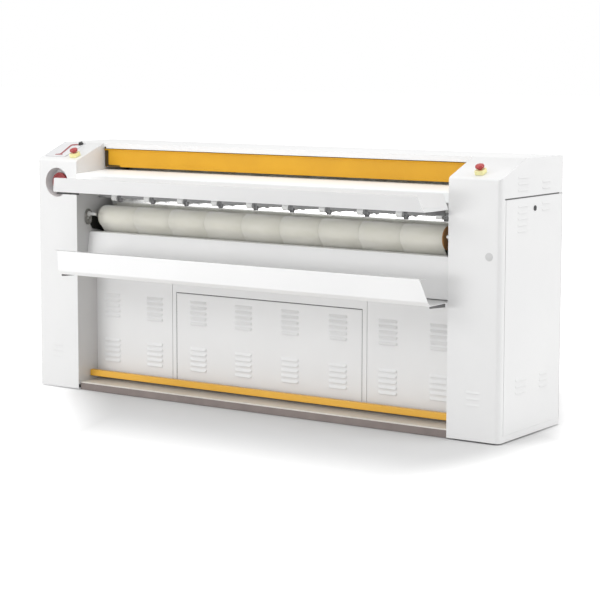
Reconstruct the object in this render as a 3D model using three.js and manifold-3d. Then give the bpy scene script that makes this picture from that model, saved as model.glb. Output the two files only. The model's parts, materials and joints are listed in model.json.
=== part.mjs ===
// A flatwork ironer: a heated-cylinder belt ironer that stands against a wall.
// Linen goes in over the feed table at the top, under the finger guard, round the back of the
// heated cylinder between it and nine belts, and comes out over the front roller, where
// stripper fingers peel it off the cylinder. It slides down the apron into the lower tray.
// Millimetres. X runs from left to right, Y from front to back, Z up. In the constants Y is
// measured from the front face of the columns; the whole machine is centred at the end.

import * as THREE from 'three';
import { mergeVertices } from 'three/addons/utils/BufferGeometryUtils.js';
import Module from 'manifold-3d';

const wasm = await Module();
wasm.setup();

// ---------- overall ----------
const WIDTH = 2600;
const COLUMN_WIDTH = 256;
const COLUMN_DEPTH = 578;
const COLUMN_HEIGHT = 1208;
const SLOPE_DROP = 79;
const SLOPE_DEPTH = 208;
const FLOOR_CLEARANCE = 6;

// ---------- sheet metal and clearances ----------
const CASING_WALL = 2;
const SHEET = 2;
const COLUMN_CORNER_RADIUS = 22;
const SLOPE_FRONT_RADIUS = 14;
const SEAT_GAP = 0.3;
const END_GAP = 0.4;
const PANEL_SEAM = 2.5;
const SHAFT_CLEARANCE = 0.5;
const RUNNING_END_GAP = 2;

// ---------- flats round turned forms ----------
const ROD_SIDES = 10;
const DRUM_SIDES = 24;
const WHEEL_SIDES = 16;

// ---------- side plates ----------
const PLATE_THICKNESS = 8;
const PLATE_BOTTOM = 30;
const PLATE_FLANGE_WIDTH = 110;

// ---------- feet ----------
const FOOT_PAD_RADIUS = 28;
const FOOT_PAD_HEIGHT = 10;
const FOOT_STEM_RADIUS = 7;
const FOOT_STEM_TOP = 62;
const FOOT_NUT_RADIUS = 14;
const FOOT_NUT_HEIGHT = 9;
const FOOT_FROM_INNER = 68;
const FOOT_FRONT_Y = 70;
const FOOT_FROM_REAR = 70;

// ---------- base ----------
const TUBE_HEIGHT = 40;
const TUBE_DEPTH = 60;
const TUBE_WALL = 3;
const FRONT_TUBE_Y = 170;
const REAR_TUBE_FROM_REAR = 98;
const BASE_TRAY_FRONT = 15;
const BASE_TRAY_TOP = 40;
const BASE_TRAY_LIP = 14;

// ---------- lower front ----------
const FRONT_PANEL_Y = 144;
const FRONT_PANEL_BOTTOM = 62;
const FRONT_PANEL_TOP = 586;
const PANEL_FOLD = 15;
const DOOR_FRAME_MARGIN = 21.5;
const DOOR_SIDE_BORDER = 26;
const DOOR_BOTTOM = 84;
const DOOR_TOP = 503;
const DOOR_GAP = 2.5;

// ---------- louvres ----------
const LOUVRE_WIDTH = 100;
const LOUVRE_HEIGHT = 13;
const LOUVRE_PROUD = 7;
const LOUVRE_WALL = 1.6;
const LOUVRE_PITCH = 25.5;
const LOUVRES_IN_GROUP = 5;
const LOUVRE_UPPER_ROW_Z = 358;
const LOUVRE_LOWER_ROW_Z = 134;
const LOUVRE_COLUMNS = 8;
const LOUVRE_LEFT_MARGIN = 101;
const LOUVRE_RIGHT_MARGIN = 121.5;
const SIDE_LOUVRE_FRONT_Y = 190;
const SIDE_LOUVRE_REAR_Y = 402;
const SIDE_LOUVRE_REAR_WIDTH = 80;
const SIDE_LOUVRE_PITCH = 27;
const SIDE_LOUVRE_RISE = 32;
const SIDE_LOUVRE_FRONT_DROP = 144;
const SIDE_LOUVRE_REAR_DROP = 63;
const SIDE_LOUVRE_LOWER_Z = 200;
const FRONT_LOUVRE_WIDTH = 72;
const FRONT_LOUVRE_Z = 158;

// ---------- side doors and their locks ----------
const SIDE_DOOR_FRONT = 38;
const SIDE_DOOR_FROM_REAR = 22;
const SIDE_DOOR_BOTTOM = 34;
const SIDE_DOOR_DROP = 168;
const SIDE_DOOR_FOLD = 11;
const LOCK_Y = 298;
const LOCK_DROP = 49;
const LOCK_BARREL_RADIUS = 8;
const LOCK_HEAD_RADIUS = 12;
const LOCK_HEAD_HEIGHT = 3;
const LOCK_CAM_LENGTH = 58;
const LOCK_CAM_WIDTH = 14;
const LOCK_CAM_THICKNESS = 2.5;
const LOCK_NUT_RADIUS = 13;
const LOCK_NUT_THICKNESS = 5;

// ---------- feed table and trays ----------
const TABLE_DROP = 141;
const TABLE_RISE = 12;
const TABLE_BEND = 4;
const TABLE_PEAK_BEFORE_ROLLER = 58;
const TABLE_CREST = 22;
const TABLE_END_GAP = 3;
const TABLE_FRONT_FLANGE = 46;
const UPPER_TRAY_DEPTH = 77;
const UPPER_TRAY_REAR_DROP = 8;
const UPPER_TRAY_REACH = 180;
const UPPER_TRAY_LIP_LEAN = 48;
const UPPER_TRAY_LIP_HEIGHT = 70;
const UPPER_TRAY_END_INSET = 14;
const UPPER_TRAY_END_TAPER = 26;
const LOWER_TRAY_REACH = 148;
const LOWER_TRAY_LIP_LEAN = 40;
const LOWER_TRAY_LIP_HEIGHT = 122;
const LOWER_TRAY_FRONT_FOLD = 17;
const LOWER_TRAY_END_INSET = 11;
const LOWER_TRAY_END_TAPER = 22;
const LOWER_TRAY_RISE = 4;
const LOWER_TRAY_REAR_FLANGE = 22;
const TRAY_HEM = 12;
const TRAY_HEM_GAP = 11;
const APRON_BEFORE_ROLLER = 80;
const APRON_DROP = 15;
const APRON_BOTTOM_Y = 62;
const APRON_HOOK = 26;
const APRON_FOOT = 24;

// ---------- top cover and rear panel ----------
const COVER_BEFORE_GUARD = 13;
const COVER_LIP = 25;
const COVER_REAR_FLANGE = 30;
const REAR_PANEL_BOTTOM = 70;
const REAR_LOUVRE_FROM_END = 424;

// ---------- finger guard ----------
const GUARD_BEFORE_ROLLER = 73;
const GUARD_ROD_DROP = 7;
const FEED_GAP = 13;
const GUARD_THICKNESS = 3;
const GUARD_ROD_RADIUS = 5;
const GUARD_HEM = 10;

// ---------- foot bar ----------
const FOOT_BAR_FRONT = 86;
const FOOT_BAR_DEPTH = 23;
const FOOT_BAR_BOTTOM = 60;
const FOOT_BAR_HEIGHT = 31;
const FOOT_BAR_WALL = 2.5;
const FOOT_BAR_PIVOT_Y = 126;
const FOOT_BAR_PIN_RADIUS = 6;
const FOOT_BAR_ARM = 6;

// ---------- heated cylinder ----------
const CYLINDER_RADIUS = 150;
const CYLINDER_WALL = 8;
const CYLINDER_TOP_RISE = 1;
const CYLINDER_LEFT_GAP = 38;
const CYLINDER_RIGHT_GAP = 100;
const CYLINDER_JOURNAL_RADIUS = 30;
const CYLINDER_JOURNAL_BORE = 20;
const CYLINDER_JOURNAL_REACH = 62;
const BEARING_LENGTH = 24;
const BEARING_RADIUS = 52;
const YOKE_REACH = 96;
const YOKE_HEIGHT = 44;

// ---------- heater bank ----------
const HEATER_TUBE_RADIUS = 12;
const HEATER_DISC_RADIUS = 96;
const HEATER_DISC_THICKNESS = 6;
const HEATER_DISC_COUNT = 3;
const HEATER_DISC_INSET = 60;
const HEATER_ROD_COUNT = 4;
const HEATER_ROD_RADIUS = 6;
const HEATER_ROD_CIRCLE = 78;

// ---------- rollers ----------
const FRONT_ROLLER_RADIUS = 58;
const FRONT_ROLLER_DROP = 80;
const IDLER_RADIUS = 32;
const TOP_ROLLER_BEFORE_CYLINDER = 79.4;
const TOP_ROLLER_DROP = 68;
const REAR_ROLLER_FROM_REAR = 66;
const REAR_ROLLER_DROP = 80;
const TENSION_ROLLER_BELOW_CYLINDER = 540;
const ROLLER_SHAFT_RADIUS = 14;

// ---------- belts ----------
const BELT_COUNT = 9;
const BELT_THICKNESS = 3.5;
const BELT_SPACING = 4;
const BELT_RETURN_GAP = 24.6;
const BELT_STEP = THREE.MathUtils.degToRad(30);

// ---------- stripper fingers ----------
const STRIPPER_COUNT = 10;
const STRIPPER_END_MARGIN = 52.5;
const STRIPPER_ABOVE_ROLLER = 100;
const STRIPPER_BAR_RADIUS = 9;
const STRIPPER_BLOCK_WIDTH = 24;
const STRIPPER_TIP_GAP = 0.8;

// ---------- drive, in the right column ----------
const SPROCKET_FROM_INNER = 52;
const SPROCKET_WIDTH = 7;
const CYLINDER_TEETH = 27;
const MOTOR_TEETH = 9;
const SPROCKET_MODULE = 6.6;
const CHAIN_WIDTH = 15;
const CHAIN_HEIGHT = 8;
const MOTOR_Y = 330;
const MOTOR_Z = 560;
const MOTOR_SHAFT_RADIUS = 12;
const GEARBOX_SIZE = 116;
const GEARBOX_FROM_INNER = 78;
const GEARBOX_WIDTH = 74;
const MOTOR_RADIUS = 56;
const MOTOR_LENGTH = 190;

// ---------- exhaust fan, in the right column ----------
const FAN_FROM_REAR = 148;
const FAN_Z = 300;
const FAN_SCROLL_RADIUS = 92;
const FAN_WIDTH = 104;
const FAN_INLET_RADIUS = 44;
const FAN_WHEEL_RADIUS = 74;
const FAN_BLADES = 10;
const FAN_SHAFT_RADIUS = 6;
const SPIGOT_RADIUS = 50;
const SPIGOT_PROUD = 40;
const FAN_MOTOR_RADIUS = 38;
const FAN_MOTOR_LENGTH = 66;

// ---------- electrical box, in the left column ----------
const BOX_FROM_REAR = 108;
const BOX_Z = 300;
const BOX_DEPTH = 90;
const BOX_LENGTH = 220;
const BOX_HEIGHT = 420;
const GLAND_RADIUS = 14;
const GLAND_Z = 200;
const GLAND_FROM_INNER = 120;

// ---------- hand wheel, in the left column's front ----------
const RECESS_FROM_OUTER = 128;
const RECESS_DROP = 109;
const RECESS_RADIUS = 72;
const RECESS_DEPTH = 58;
const WHEEL_RADIUS = 48;
const WHEEL_RIM = 7;
const WHEEL_Y = 26;
const WHEEL_SHAFT_RADIUS = 8;
const WHEEL_SHAFT_LENGTH = 90;
const WHEEL_SPOKES = 3;

// ---------- controls on the slopes ----------
const ESTOP_FROM_OUTER = 128;
const ESTOP_FROM_PANEL = 35;
const ESTOP_ALONG = 52;
const ESTOP_BASE_SIZE = 42;
const ESTOP_BASE_HEIGHT = 20;
const ESTOP_STEM_RADIUS = 9;
const ESTOP_HEAD_RADIUS = 20;
const ESTOP_TRAVEL = 5;
const CONTROL_PANEL_FROM_OUTER = 20;
const CONTROL_PANEL_ALONG = 124;
const CONTROL_PANEL_WIDTH = 132;
const CONTROL_PANEL_LENGTH = 170;
const CONTROL_PANEL_THICKNESS = 4;
const KNOB_OFFSET = 52;
const KNOB_UP_PANEL = 62;
const KNOB_RADIUS = 13;
const KNOB_HEIGHT = 12;
const KNOB_STEM_RADIUS = 4;

// ---------- worked out from the above ----------
const INNER_X = WIDTH / 2 - COLUMN_WIDTH;
const OUTER_X = WIDTH / 2;
const BAY_LEFT = -(INNER_X - END_GAP);
const BAY_RIGHT = INNER_X - END_GAP;
const COLUMN_FRONT_HEIGHT = COLUMN_HEIGHT - SLOPE_DROP;
const SLOPE_ANGLE = Math.atan2(SLOPE_DROP, SLOPE_DEPTH);
const FOOT_REAR_Y = COLUMN_DEPTH - FOOT_FROM_REAR;
const REAR_TUBE_Y = COLUMN_DEPTH - REAR_TUBE_FROM_REAR;
const SIDE_DOOR_REAR = COLUMN_DEPTH - SIDE_DOOR_FROM_REAR;
const SIDE_DOOR_TOP = COLUMN_HEIGHT - SIDE_DOOR_DROP;
const LOUVRE_FIRST_COLUMN_X = -INNER_X + LOUVRE_LEFT_MARGIN;
const LOUVRE_COLUMN_PITCH = (2 * INNER_X - LOUVRE_LEFT_MARGIN - LOUVRE_RIGHT_MARGIN) / (LOUVRE_COLUMNS - 1);
const DOOR_FRAME_LEFT = louvreColumnX(1.5) - DOOR_FRAME_MARGIN;
const DOOR_FRAME_RIGHT = louvreColumnX(5.5) + DOOR_FRAME_MARGIN;

// The belts' rear run stands clear of the cylinder, which sets the cylinder's place, and the
// front roller nips a belt against the cylinder.
const TABLE_FRONT_TOP = COLUMN_HEIGHT - TABLE_DROP;
const TABLE_PEAK_Z = TABLE_FRONT_TOP + TABLE_RISE;
const REAR_ROLLER_Y = COLUMN_DEPTH - REAR_ROLLER_FROM_REAR;
const REAR_ROLLER_Z = COLUMN_HEIGHT - REAR_ROLLER_DROP;
const CYLINDER_Y = REAR_ROLLER_Y + IDLER_RADIUS - BELT_RETURN_GAP - CYLINDER_RADIUS;
const CYLINDER_Z = TABLE_PEAK_Z + CYLINDER_TOP_RISE - CYLINDER_RADIUS;
const CYLINDER_LEFT = -INNER_X + CYLINDER_LEFT_GAP;
const CYLINDER_RIGHT = INNER_X - CYLINDER_RIGHT_GAP;
const CYLINDER_CENTRE_X = (CYLINDER_LEFT + CYLINDER_RIGHT) / 2;
const NIP = CYLINDER_RADIUS + FRONT_ROLLER_RADIUS + BELT_THICKNESS + 2 * SEAT_GAP;
const FRONT_ROLLER_Y = CYLINDER_Y - Math.sqrt(NIP ** 2 - FRONT_ROLLER_DROP ** 2);
const FRONT_ROLLER_Z = CYLINDER_Z - FRONT_ROLLER_DROP;
const TENSION_ROLLER_Z = CYLINDER_Z - TENSION_ROLLER_BELOW_CYLINDER;
const TOP_ROLLER_Y = CYLINDER_Y - TOP_ROLLER_BEFORE_CYLINDER;
const TOP_ROLLER_Z = COLUMN_HEIGHT - TOP_ROLLER_DROP;
const STRIPPER_BAR_Y = FRONT_ROLLER_Y;
const STRIPPER_BAR_Z = FRONT_ROLLER_Z + STRIPPER_ABOVE_ROLLER;
const STRIPPER_PITCH = (CYLINDER_RIGHT - CYLINDER_LEFT - 2 * STRIPPER_END_MARGIN) / (STRIPPER_COUNT - 1);

const TABLE_PEAK_Y = TOP_ROLLER_Y - TABLE_PEAK_BEFORE_ROLLER;
const TABLE_END_Y = TOP_ROLLER_Y;
const TABLE_END_Z = CYLINDER_Z + Math.sqrt(CYLINDER_RADIUS ** 2 - (CYLINDER_Y - TABLE_END_Y) ** 2)
  + TABLE_END_GAP + SHEET;
const UPPER_TRAY_FLOOR = TABLE_FRONT_TOP - UPPER_TRAY_DEPTH;
const UPPER_TRAY_FRONT = -UPPER_TRAY_REACH;
const UPPER_TRAY_LIP_REACH = UPPER_TRAY_FRONT - UPPER_TRAY_LIP_LEAN;
const UPPER_TRAY_LIP_TOP = UPPER_TRAY_FLOOR + UPPER_TRAY_LIP_HEIGHT;
const LOWER_TRAY_FLOOR = FRONT_PANEL_TOP + LOWER_TRAY_RISE;
const LOWER_TRAY_FRONT = -LOWER_TRAY_REACH;
const LOWER_TRAY_LIP_REACH = LOWER_TRAY_FRONT - LOWER_TRAY_LIP_LEAN;
const LOWER_TRAY_LIP_TOP = LOWER_TRAY_FLOOR + LOWER_TRAY_LIP_HEIGHT;
const APRON_TOP_Y = FRONT_ROLLER_Y - APRON_BEFORE_ROLLER;
const APRON_TOP_Z = FRONT_ROLLER_Z - FRONT_ROLLER_RADIUS - APRON_DROP;
const GUARD_Y = TOP_ROLLER_Y - GUARD_BEFORE_ROLLER;
const GUARD_TOP = COLUMN_HEIGHT - COVER_LIP - GUARD_ROD_DROP;
const GUARD_BOTTOM = TABLE_PEAK_Z + FEED_GAP;
const COVER_FRONT = GUARD_Y - COVER_BEFORE_GUARD;
const REAR_LOUVRE_X = INNER_X - REAR_LOUVRE_FROM_END;

const SPROCKET_X = INNER_X + SPROCKET_FROM_INNER;
const GEARBOX_X = INNER_X + GEARBOX_FROM_INNER;
const FAN_Y = COLUMN_DEPTH - FAN_FROM_REAR;
const BOX_Y = COLUMN_DEPTH - BOX_FROM_REAR - BOX_LENGTH;
const RECESS_X = -(OUTER_X - RECESS_FROM_OUTER);
const RECESS_Z = COLUMN_FRONT_HEIGHT - RECESS_DROP;
const ESTOP_RIGHT_X = OUTER_X - ESTOP_FROM_OUTER;
const CONTROL_PANEL_X = -(OUTER_X - CONTROL_PANEL_FROM_OUTER - CONTROL_PANEL_WIDTH / 2);
const ESTOP_LEFT_X = CONTROL_PANEL_X + CONTROL_PANEL_WIDTH / 2 + ESTOP_FROM_PANEL + ESTOP_BASE_SIZE / 2;
const KNOB_X = CONTROL_PANEL_X + KNOB_OFFSET;
const KNOB_ALONG = CONTROL_PANEL_ALONG + KNOB_UP_PANEL;

// ---------- finishes ----------
function finish(color, roughness, metalness) {
  return new THREE.MeshStandardMaterial({ color, roughness, metalness, flatShading: true });
}
const whitePaint = finish(0xf2f2f0, 0.45, 0);
const orangePaint = finish(0xe0a02c, 0.45, 0);
const stripGrey = finish(0xc9c6d2, 0.5, 0);
const steel = finish(0xb9bcc0, 0.35, 0.9);
const zincSteel = finish(0xa6a9ad, 0.45, 0.8);
const chrome = finish(0xe6e8ea, 0.12, 1);
const beltFelt = finish(0xd6d3bd, 0.9, 0);
const fingerWhite = finish(0xf4f4f2, 0.5, 0);
const redPlastic = finish(0xb3262a, 0.35, 0);
const yellowPlastic = finish(0xe6c92e, 0.4, 0);
const blackPlastic = finish(0x1b1b1d, 0.4, 0);
const panelGrey = finish(0xe4e4e6, 0.4, 0);
const castGrey = finish(0x70747a, 0.6, 0.4);
const rubber = finish(0x232325, 0.8, 0);

// ---------- solids ----------
// A closed geometry with shared vertices, its faces turned outward.
function closed(geometry) {
  const bare = geometry.clone();
  bare.deleteAttribute('normal');
  bare.deleteAttribute('uv');
  const merged = mergeVertices(bare, 1e-4);
  const p = merged.attributes.position;
  const index = merged.index.array;
  const [a, b, c] = [new THREE.Vector3(), new THREE.Vector3(), new THREE.Vector3()];
  let volume = 0;
  for (let i = 0; i < index.length; i += 3) {
    a.fromBufferAttribute(p, index[i]);
    b.fromBufferAttribute(p, index[i + 1]);
    c.fromBufferAttribute(p, index[i + 2]);
    volume += a.dot(b.cross(c));
  }
  if (volume < 0) {
    for (let i = 0; i < index.length; i += 3) {
      [index[i + 1], index[i + 2]] = [index[i + 2], index[i + 1]];
    }
  }
  return merged;
}

function solid(geometry) {
  const merged = closed(geometry);
  return new wasm.Manifold(new wasm.Mesh({
    numProp: 3,
    vertProperties: new Float32Array(merged.attributes.position.array),
    triVerts: new Uint32Array(merged.index.array),
  }));
}

function geometryOf(manifold) {
  const mesh = manifold.getMesh();
  const geometry = new THREE.BufferGeometry();
  geometry.setAttribute('position', new THREE.BufferAttribute(mesh.vertProperties, 3));
  geometry.setIndex(new THREE.BufferAttribute(mesh.triVerts, 1));
  return geometry;
}

function join(first, ...others) {
  return others.reduce((sum, other) => sum.add(other), first);
}

function cut(body, ...tools) {
  return tools.reduce((rest, tool) => rest.subtract(tool), body);
}

function shapeOf(points, holes = []) {
  const shape = new THREE.Shape(points.map(([a, b]) => new THREE.Vector2(a, b)));
  for (const hole of holes) {
    shape.holes.push(new THREE.Path(hole.map(([a, b]) => new THREE.Vector2(a, b))));
  }
  return shape;
}

// An outline in Y and Z, extruded from x0 to x1.
function extrudeX(points, x0, x1, holes) {
  const geometry = new THREE.ExtrudeGeometry(shapeOf(points, holes), { depth: x1 - x0, bevelEnabled: false });
  const turn = new THREE.Matrix4().makeBasis(
    new THREE.Vector3(0, 1, 0), new THREE.Vector3(0, 0, 1), new THREE.Vector3(1, 0, 0));
  return solid(geometry.applyMatrix4(turn).translate(x0, 0, 0));
}

// An outline in X and Y, extruded from z0 to z1.
function extrudeZ(points, z0, z1) {
  const geometry = new THREE.ExtrudeGeometry(shapeOf(points), { depth: z1 - z0, bevelEnabled: false });
  return solid(geometry.translate(0, 0, z0));
}

// An outline in X and Z, extruded from y0 to y1.
function extrudeY(points, y0, y1) {
  const geometry = new THREE.ExtrudeGeometry(shapeOf(points), { depth: y1 - y0, bevelEnabled: false });
  return solid(geometry.rotateX(Math.PI / 2).translate(0, y1, 0));
}

function block(x0, x1, y0, y1, z0, z1) {
  const geometry = new THREE.BoxGeometry(x1 - x0, y1 - y0, z1 - z0);
  return solid(geometry.translate((x0 + x1) / 2, (y0 + y1) / 2, (z0 + z1) / 2));
}

function rodX(y, z, radius, x0, x1, sides = ROD_SIDES) {
  const geometry = new THREE.CylinderGeometry(radius, radius, x1 - x0, sides);
  return solid(geometry.rotateZ(-Math.PI / 2).translate((x0 + x1) / 2, y, z));
}

function rodY(x, z, radius, y0, y1, sides = ROD_SIDES) {
  const geometry = new THREE.CylinderGeometry(radius, radius, y1 - y0, sides);
  return solid(geometry.translate(x, (y0 + y1) / 2, z));
}

function rodZ(x, y, radius, z0, z1, sides = ROD_SIDES) {
  const geometry = new THREE.CylinderGeometry(radius, radius, z1 - z0, sides);
  return solid(geometry.rotateX(Math.PI / 2).translate(x, y, (z0 + z1) / 2));
}

// The radius at the corners of a hole with this many flats, so that a rod runs free in it.
function holeRadius(rodRadius, sides = ROD_SIDES) {
  return (rodRadius + SHAFT_CLEARANCE) / Math.cos(Math.PI / sides);
}

// A profile of [x, radius] points turned about X.
function turned(profile, sides) {
  const geometry = new THREE.LatheGeometry(profile.map(([x, r]) => new THREE.Vector2(r, x)), sides);
  return solid(geometry.rotateZ(-Math.PI / 2));
}

// A profile of [z, radius] points turned about Z.
function turnedZ(profile, sides) {
  const geometry = new THREE.LatheGeometry(profile.map(([z, r]) => new THREE.Vector2(r, z)), sides);
  return solid(geometry.rotateX(Math.PI / 2));
}

// Corners [a, b, radius], with each one that has a radius rounded.
function rounded(corners, steps = 4) {
  const points = [];
  corners.forEach(([a, b, radius], i) => {
    if (!radius) {
      points.push([a, b]);
      return;
    }
    const here = new THREE.Vector2(a, b);
    const before = new THREE.Vector2(...corners.at(i - 1).slice(0, 2)).sub(here).normalize();
    const after = new THREE.Vector2(...corners[(i + 1) % corners.length].slice(0, 2)).sub(here).normalize();
    const half = Math.acos(THREE.MathUtils.clamp(before.dot(after), -1, 1)) / 2;
    const centre = before.clone().add(after).normalize().multiplyScalar(radius / Math.sin(half)).add(here);
    const start = before.clone().multiplyScalar(radius / Math.tan(half)).add(here).sub(centre);
    const turn = (Math.PI - 2 * half) * -Math.sign(before.cross(after));
    for (let k = 0; k <= steps; k += 1) {
      const p = start.clone().rotateAround(new THREE.Vector2(), (turn * k) / steps).add(centre);
      points.push([p.x, p.y]);
    }
  });
  return points;
}

// The line through a path of points, moved sideways by a distance, to the left of its run.
function offsetPath(path, distance) {
  const vectors = path.map(([a, b]) => new THREE.Vector2(a, b));
  return vectors.map((here, i) => {
    const into = i > 0 ? here.clone().sub(vectors[i - 1]).normalize() : null;
    const out = i < vectors.length - 1 ? vectors[i + 1].clone().sub(here).normalize() : null;
    const first = into ?? out;
    const second = out ?? into;
    const n1 = new THREE.Vector2(-first.y, first.x);
    const n2 = new THREE.Vector2(-second.y, second.x);
    const mitre = n1.clone().add(n2).multiplyScalar(distance / (1 + n1.dot(n2)));
    return [here.x + mitre.x, here.y + mitre.y];
  });
}

// Bent sheet: a path in Y and Z, given its thickness to the left of its run.
function bentSheet(path, x0, x1, thickness = SHEET) {
  return extrudeX([...path, ...offsetPath(path, thickness).reverse()], x0, x1);
}

// A tray of sheet metal with folded edges, open at its back: a flat panel's usual form.
// Its face looks along -Y at y, and its folds run back from there.
function pan(x0, x1, y, z0, z1, fold = PANEL_FOLD) {
  const outside = block(x0, x1, y, y + fold, z0, z1);
  const inside = block(x0 + SHEET, x1 - SHEET, y + SHEET, y + fold + 1, z0 + SHEET, z1 - SHEET);
  return outside.subtract(inside);
}

// ---------- louvres ----------
// Each is a hood pressed out of the sheet, open below, over a slot. Local frame: the face of
// the sheet is y = 0 and looks along -Y, x runs along the louvre, and z = 0 is its lower edge.
function louvreHood(width) {
  const outline = [[SHEET / 2, 0], [SHEET / 2, LOUVRE_HEIGHT], [0, LOUVRE_HEIGHT], [-LOUVRE_PROUD, 0]];
  return extrudeX(outline, -width / 2, width / 2);
}

function louvreHollow(width) {
  const rise = LOUVRE_HEIGHT / LOUVRE_PROUD;
  const front = -LOUVRE_PROUD + LOUVRE_WALL;
  const back = SHEET + 1;
  const outline = [[front, 0], [back, 0], [back, (back - front) * rise * 0.8]];
  return extrudeX(outline, -width / 2 + LOUVRE_WALL, width / 2 - LOUVRE_WALL);
}

// Presses a group of louvres, one above another, into a panel. The turn about Z says which
// way the panel faces: 0 is the front, a quarter turn is the right side.
function pressLouvres(panel, count, width, pitch, [x, y, z], turn = 0) {
  const degrees = THREE.MathUtils.radToDeg(turn);
  const place = (tool, k) => tool.rotate([0, 0, degrees]).translate([x, y, z + k * pitch]);
  let result = panel;
  for (let k = 0; k < count; k += 1) {
    result = result.add(place(louvreHood(width), k)).subtract(place(louvreHollow(width), k));
  }
  return result;
}

// ---------- the scene graph ----------
const ironer = new THREE.Group();
const machine = new THREE.Group();
ironer.add(machine);

function place(name, manifold, material, [x, y, z] = [0, 0, 0], parent = machine) {
  const mesh = new THREE.Mesh(geometryOf(manifold), material);
  mesh.name = name;
  mesh.position.set(x, y, z);
  parent.add(mesh);
  return mesh;
}

const SIDES = [{ name: 'left', sign: -1 }, { name: 'right', sign: 1 }];

// Two distances from the machine's middle, as a low and a high X on the given side.
function spanX(sign, near, far) {
  return sign > 0 ? [near, far] : [-far, -near];
}

// ---------- columns ----------
function columnOutline(inset, bottom) {
  const normal = [Math.sin(SLOPE_ANGLE), Math.cos(SLOPE_ANGLE)];
  const top = COLUMN_HEIGHT - inset;
  const slopeFoot = (inset * (1 - normal[0])) / normal[1];
  const slopeTop = (inset * (1 - normal[1])) / normal[0];
  return rounded([
    [inset, bottom],
    [COLUMN_DEPTH - inset, bottom],
    [COLUMN_DEPTH - inset, top],
    [SLOPE_DEPTH + slopeTop, top],
    [inset, COLUMN_FRONT_HEIGHT - slopeFoot, SLOPE_FRONT_RADIUS - inset],
  ], 3);
}

function columnPlan(sign, inset) {
  const [x0, x1] = spanX(sign, INNER_X - 1, OUTER_X - inset);
  const radius = COLUMN_CORNER_RADIUS - inset;
  const [leftRadius, rightRadius] = sign > 0 ? [0, radius] : [radius, 0];
  return extrudeZ(rounded([
    [x0, inset, leftRadius],
    [x1, inset, rightRadius],
    [x1, COLUMN_DEPTH - inset, rightRadius],
    [x0, COLUMN_DEPTH - inset, leftRadius],
  ], 5), 0, COLUMN_HEIGHT + 1);
}

function columnCasing(sign) {
  const [x0, x1] = spanX(sign, INNER_X, OUTER_X);
  const outside = extrudeX(columnOutline(0, FLOOR_CLEARANCE), x0, x1).intersect(columnPlan(sign, 0));
  const [c0, c1] = spanX(sign, INNER_X - 1, OUTER_X - CASING_WALL);
  const cavity = extrudeX(columnOutline(CASING_WALL, 1), c0, c1).intersect(columnPlan(sign, CASING_WALL));
  const [d0, d1] = spanX(sign, OUTER_X - CASING_WALL - 1, OUTER_X + 1);
  const doorway = block(d0, d1, SIDE_DOOR_FRONT - DOOR_GAP, SIDE_DOOR_REAR + DOOR_GAP,
    SIDE_DOOR_BOTTOM - SEAT_GAP, SIDE_DOOR_TOP + DOOR_GAP);
  const turn = (sign * Math.PI) / 2;
  const face = sign * OUTER_X;
  let casing = cut(outside, cavity, doorway);
  const upperZ = SIDE_DOOR_TOP + SIDE_LOUVRE_RISE;
  casing = pressLouvres(casing, 3, LOUVRE_WIDTH, SIDE_LOUVRE_PITCH, [face, SIDE_LOUVRE_FRONT_Y, upperZ], turn);
  casing = pressLouvres(casing, 2, SIDE_LOUVRE_REAR_WIDTH, SIDE_LOUVRE_PITCH,
    [face, SIDE_LOUVRE_REAR_Y, upperZ], turn);
  return pressLouvres(casing, 3, FRONT_LOUVRE_WIDTH, SIDE_LOUVRE_PITCH,
    [sign * (INNER_X + COLUMN_WIDTH / 2), 0, FRONT_LOUVRE_Z]);
}

function leftCasing() {
  const cup = rodY(RECESS_X, RECESS_Z, RECESS_RADIUS + CASING_WALL, CASING_WALL / 2,
    RECESS_DEPTH + CASING_WALL, DRUM_SIDES);
  const hollow = rodY(RECESS_X, RECESS_Z, RECESS_RADIUS, -1, RECESS_DEPTH, DRUM_SIDES);
  const shaftHole = rodY(RECESS_X, RECESS_Z, holeRadius(WHEEL_SHAFT_RADIUS), 0, RECESS_DEPTH + 10);
  const glandX = -(INNER_X + GLAND_FROM_INNER);
  const glandHole = rodY(glandX, GLAND_Z, holeRadius(GLAND_RADIUS), COLUMN_DEPTH - 10, COLUMN_DEPTH + 1);
  return cut(columnCasing(-1).add(cup), hollow, shaftHole, glandHole);
}

function rightCasing() {
  const spigotX = fanCentreX();
  const hole = rodY(spigotX, FAN_Z, holeRadius(SPIGOT_RADIUS, WHEEL_SIDES), COLUMN_DEPTH - 10,
    COLUMN_DEPTH + 1, WHEEL_SIDES);
  return columnCasing(1).subtract(hole);
}

// The shafts that run in holes of both side plates: [y, z, radius].
function shaftHoles() {
  return [
    [CYLINDER_Y, CYLINDER_Z, CYLINDER_JOURNAL_RADIUS],
    [FRONT_ROLLER_Y, FRONT_ROLLER_Z, ROLLER_SHAFT_RADIUS],
    [TOP_ROLLER_Y, TOP_ROLLER_Z, ROLLER_SHAFT_RADIUS],
    [REAR_ROLLER_Y, REAR_ROLLER_Z, ROLLER_SHAFT_RADIUS],
    [REAR_ROLLER_Y, TENSION_ROLLER_Z, ROLLER_SHAFT_RADIUS],
    [STRIPPER_BAR_Y, STRIPPER_BAR_Z, STRIPPER_BAR_RADIUS],
    [GUARD_Y, GUARD_TOP, GUARD_ROD_RADIUS],
    [FOOT_BAR_PIVOT_Y, footBarMiddleZ(), FOOT_BAR_PIN_RADIUS],
  ];
}

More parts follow.
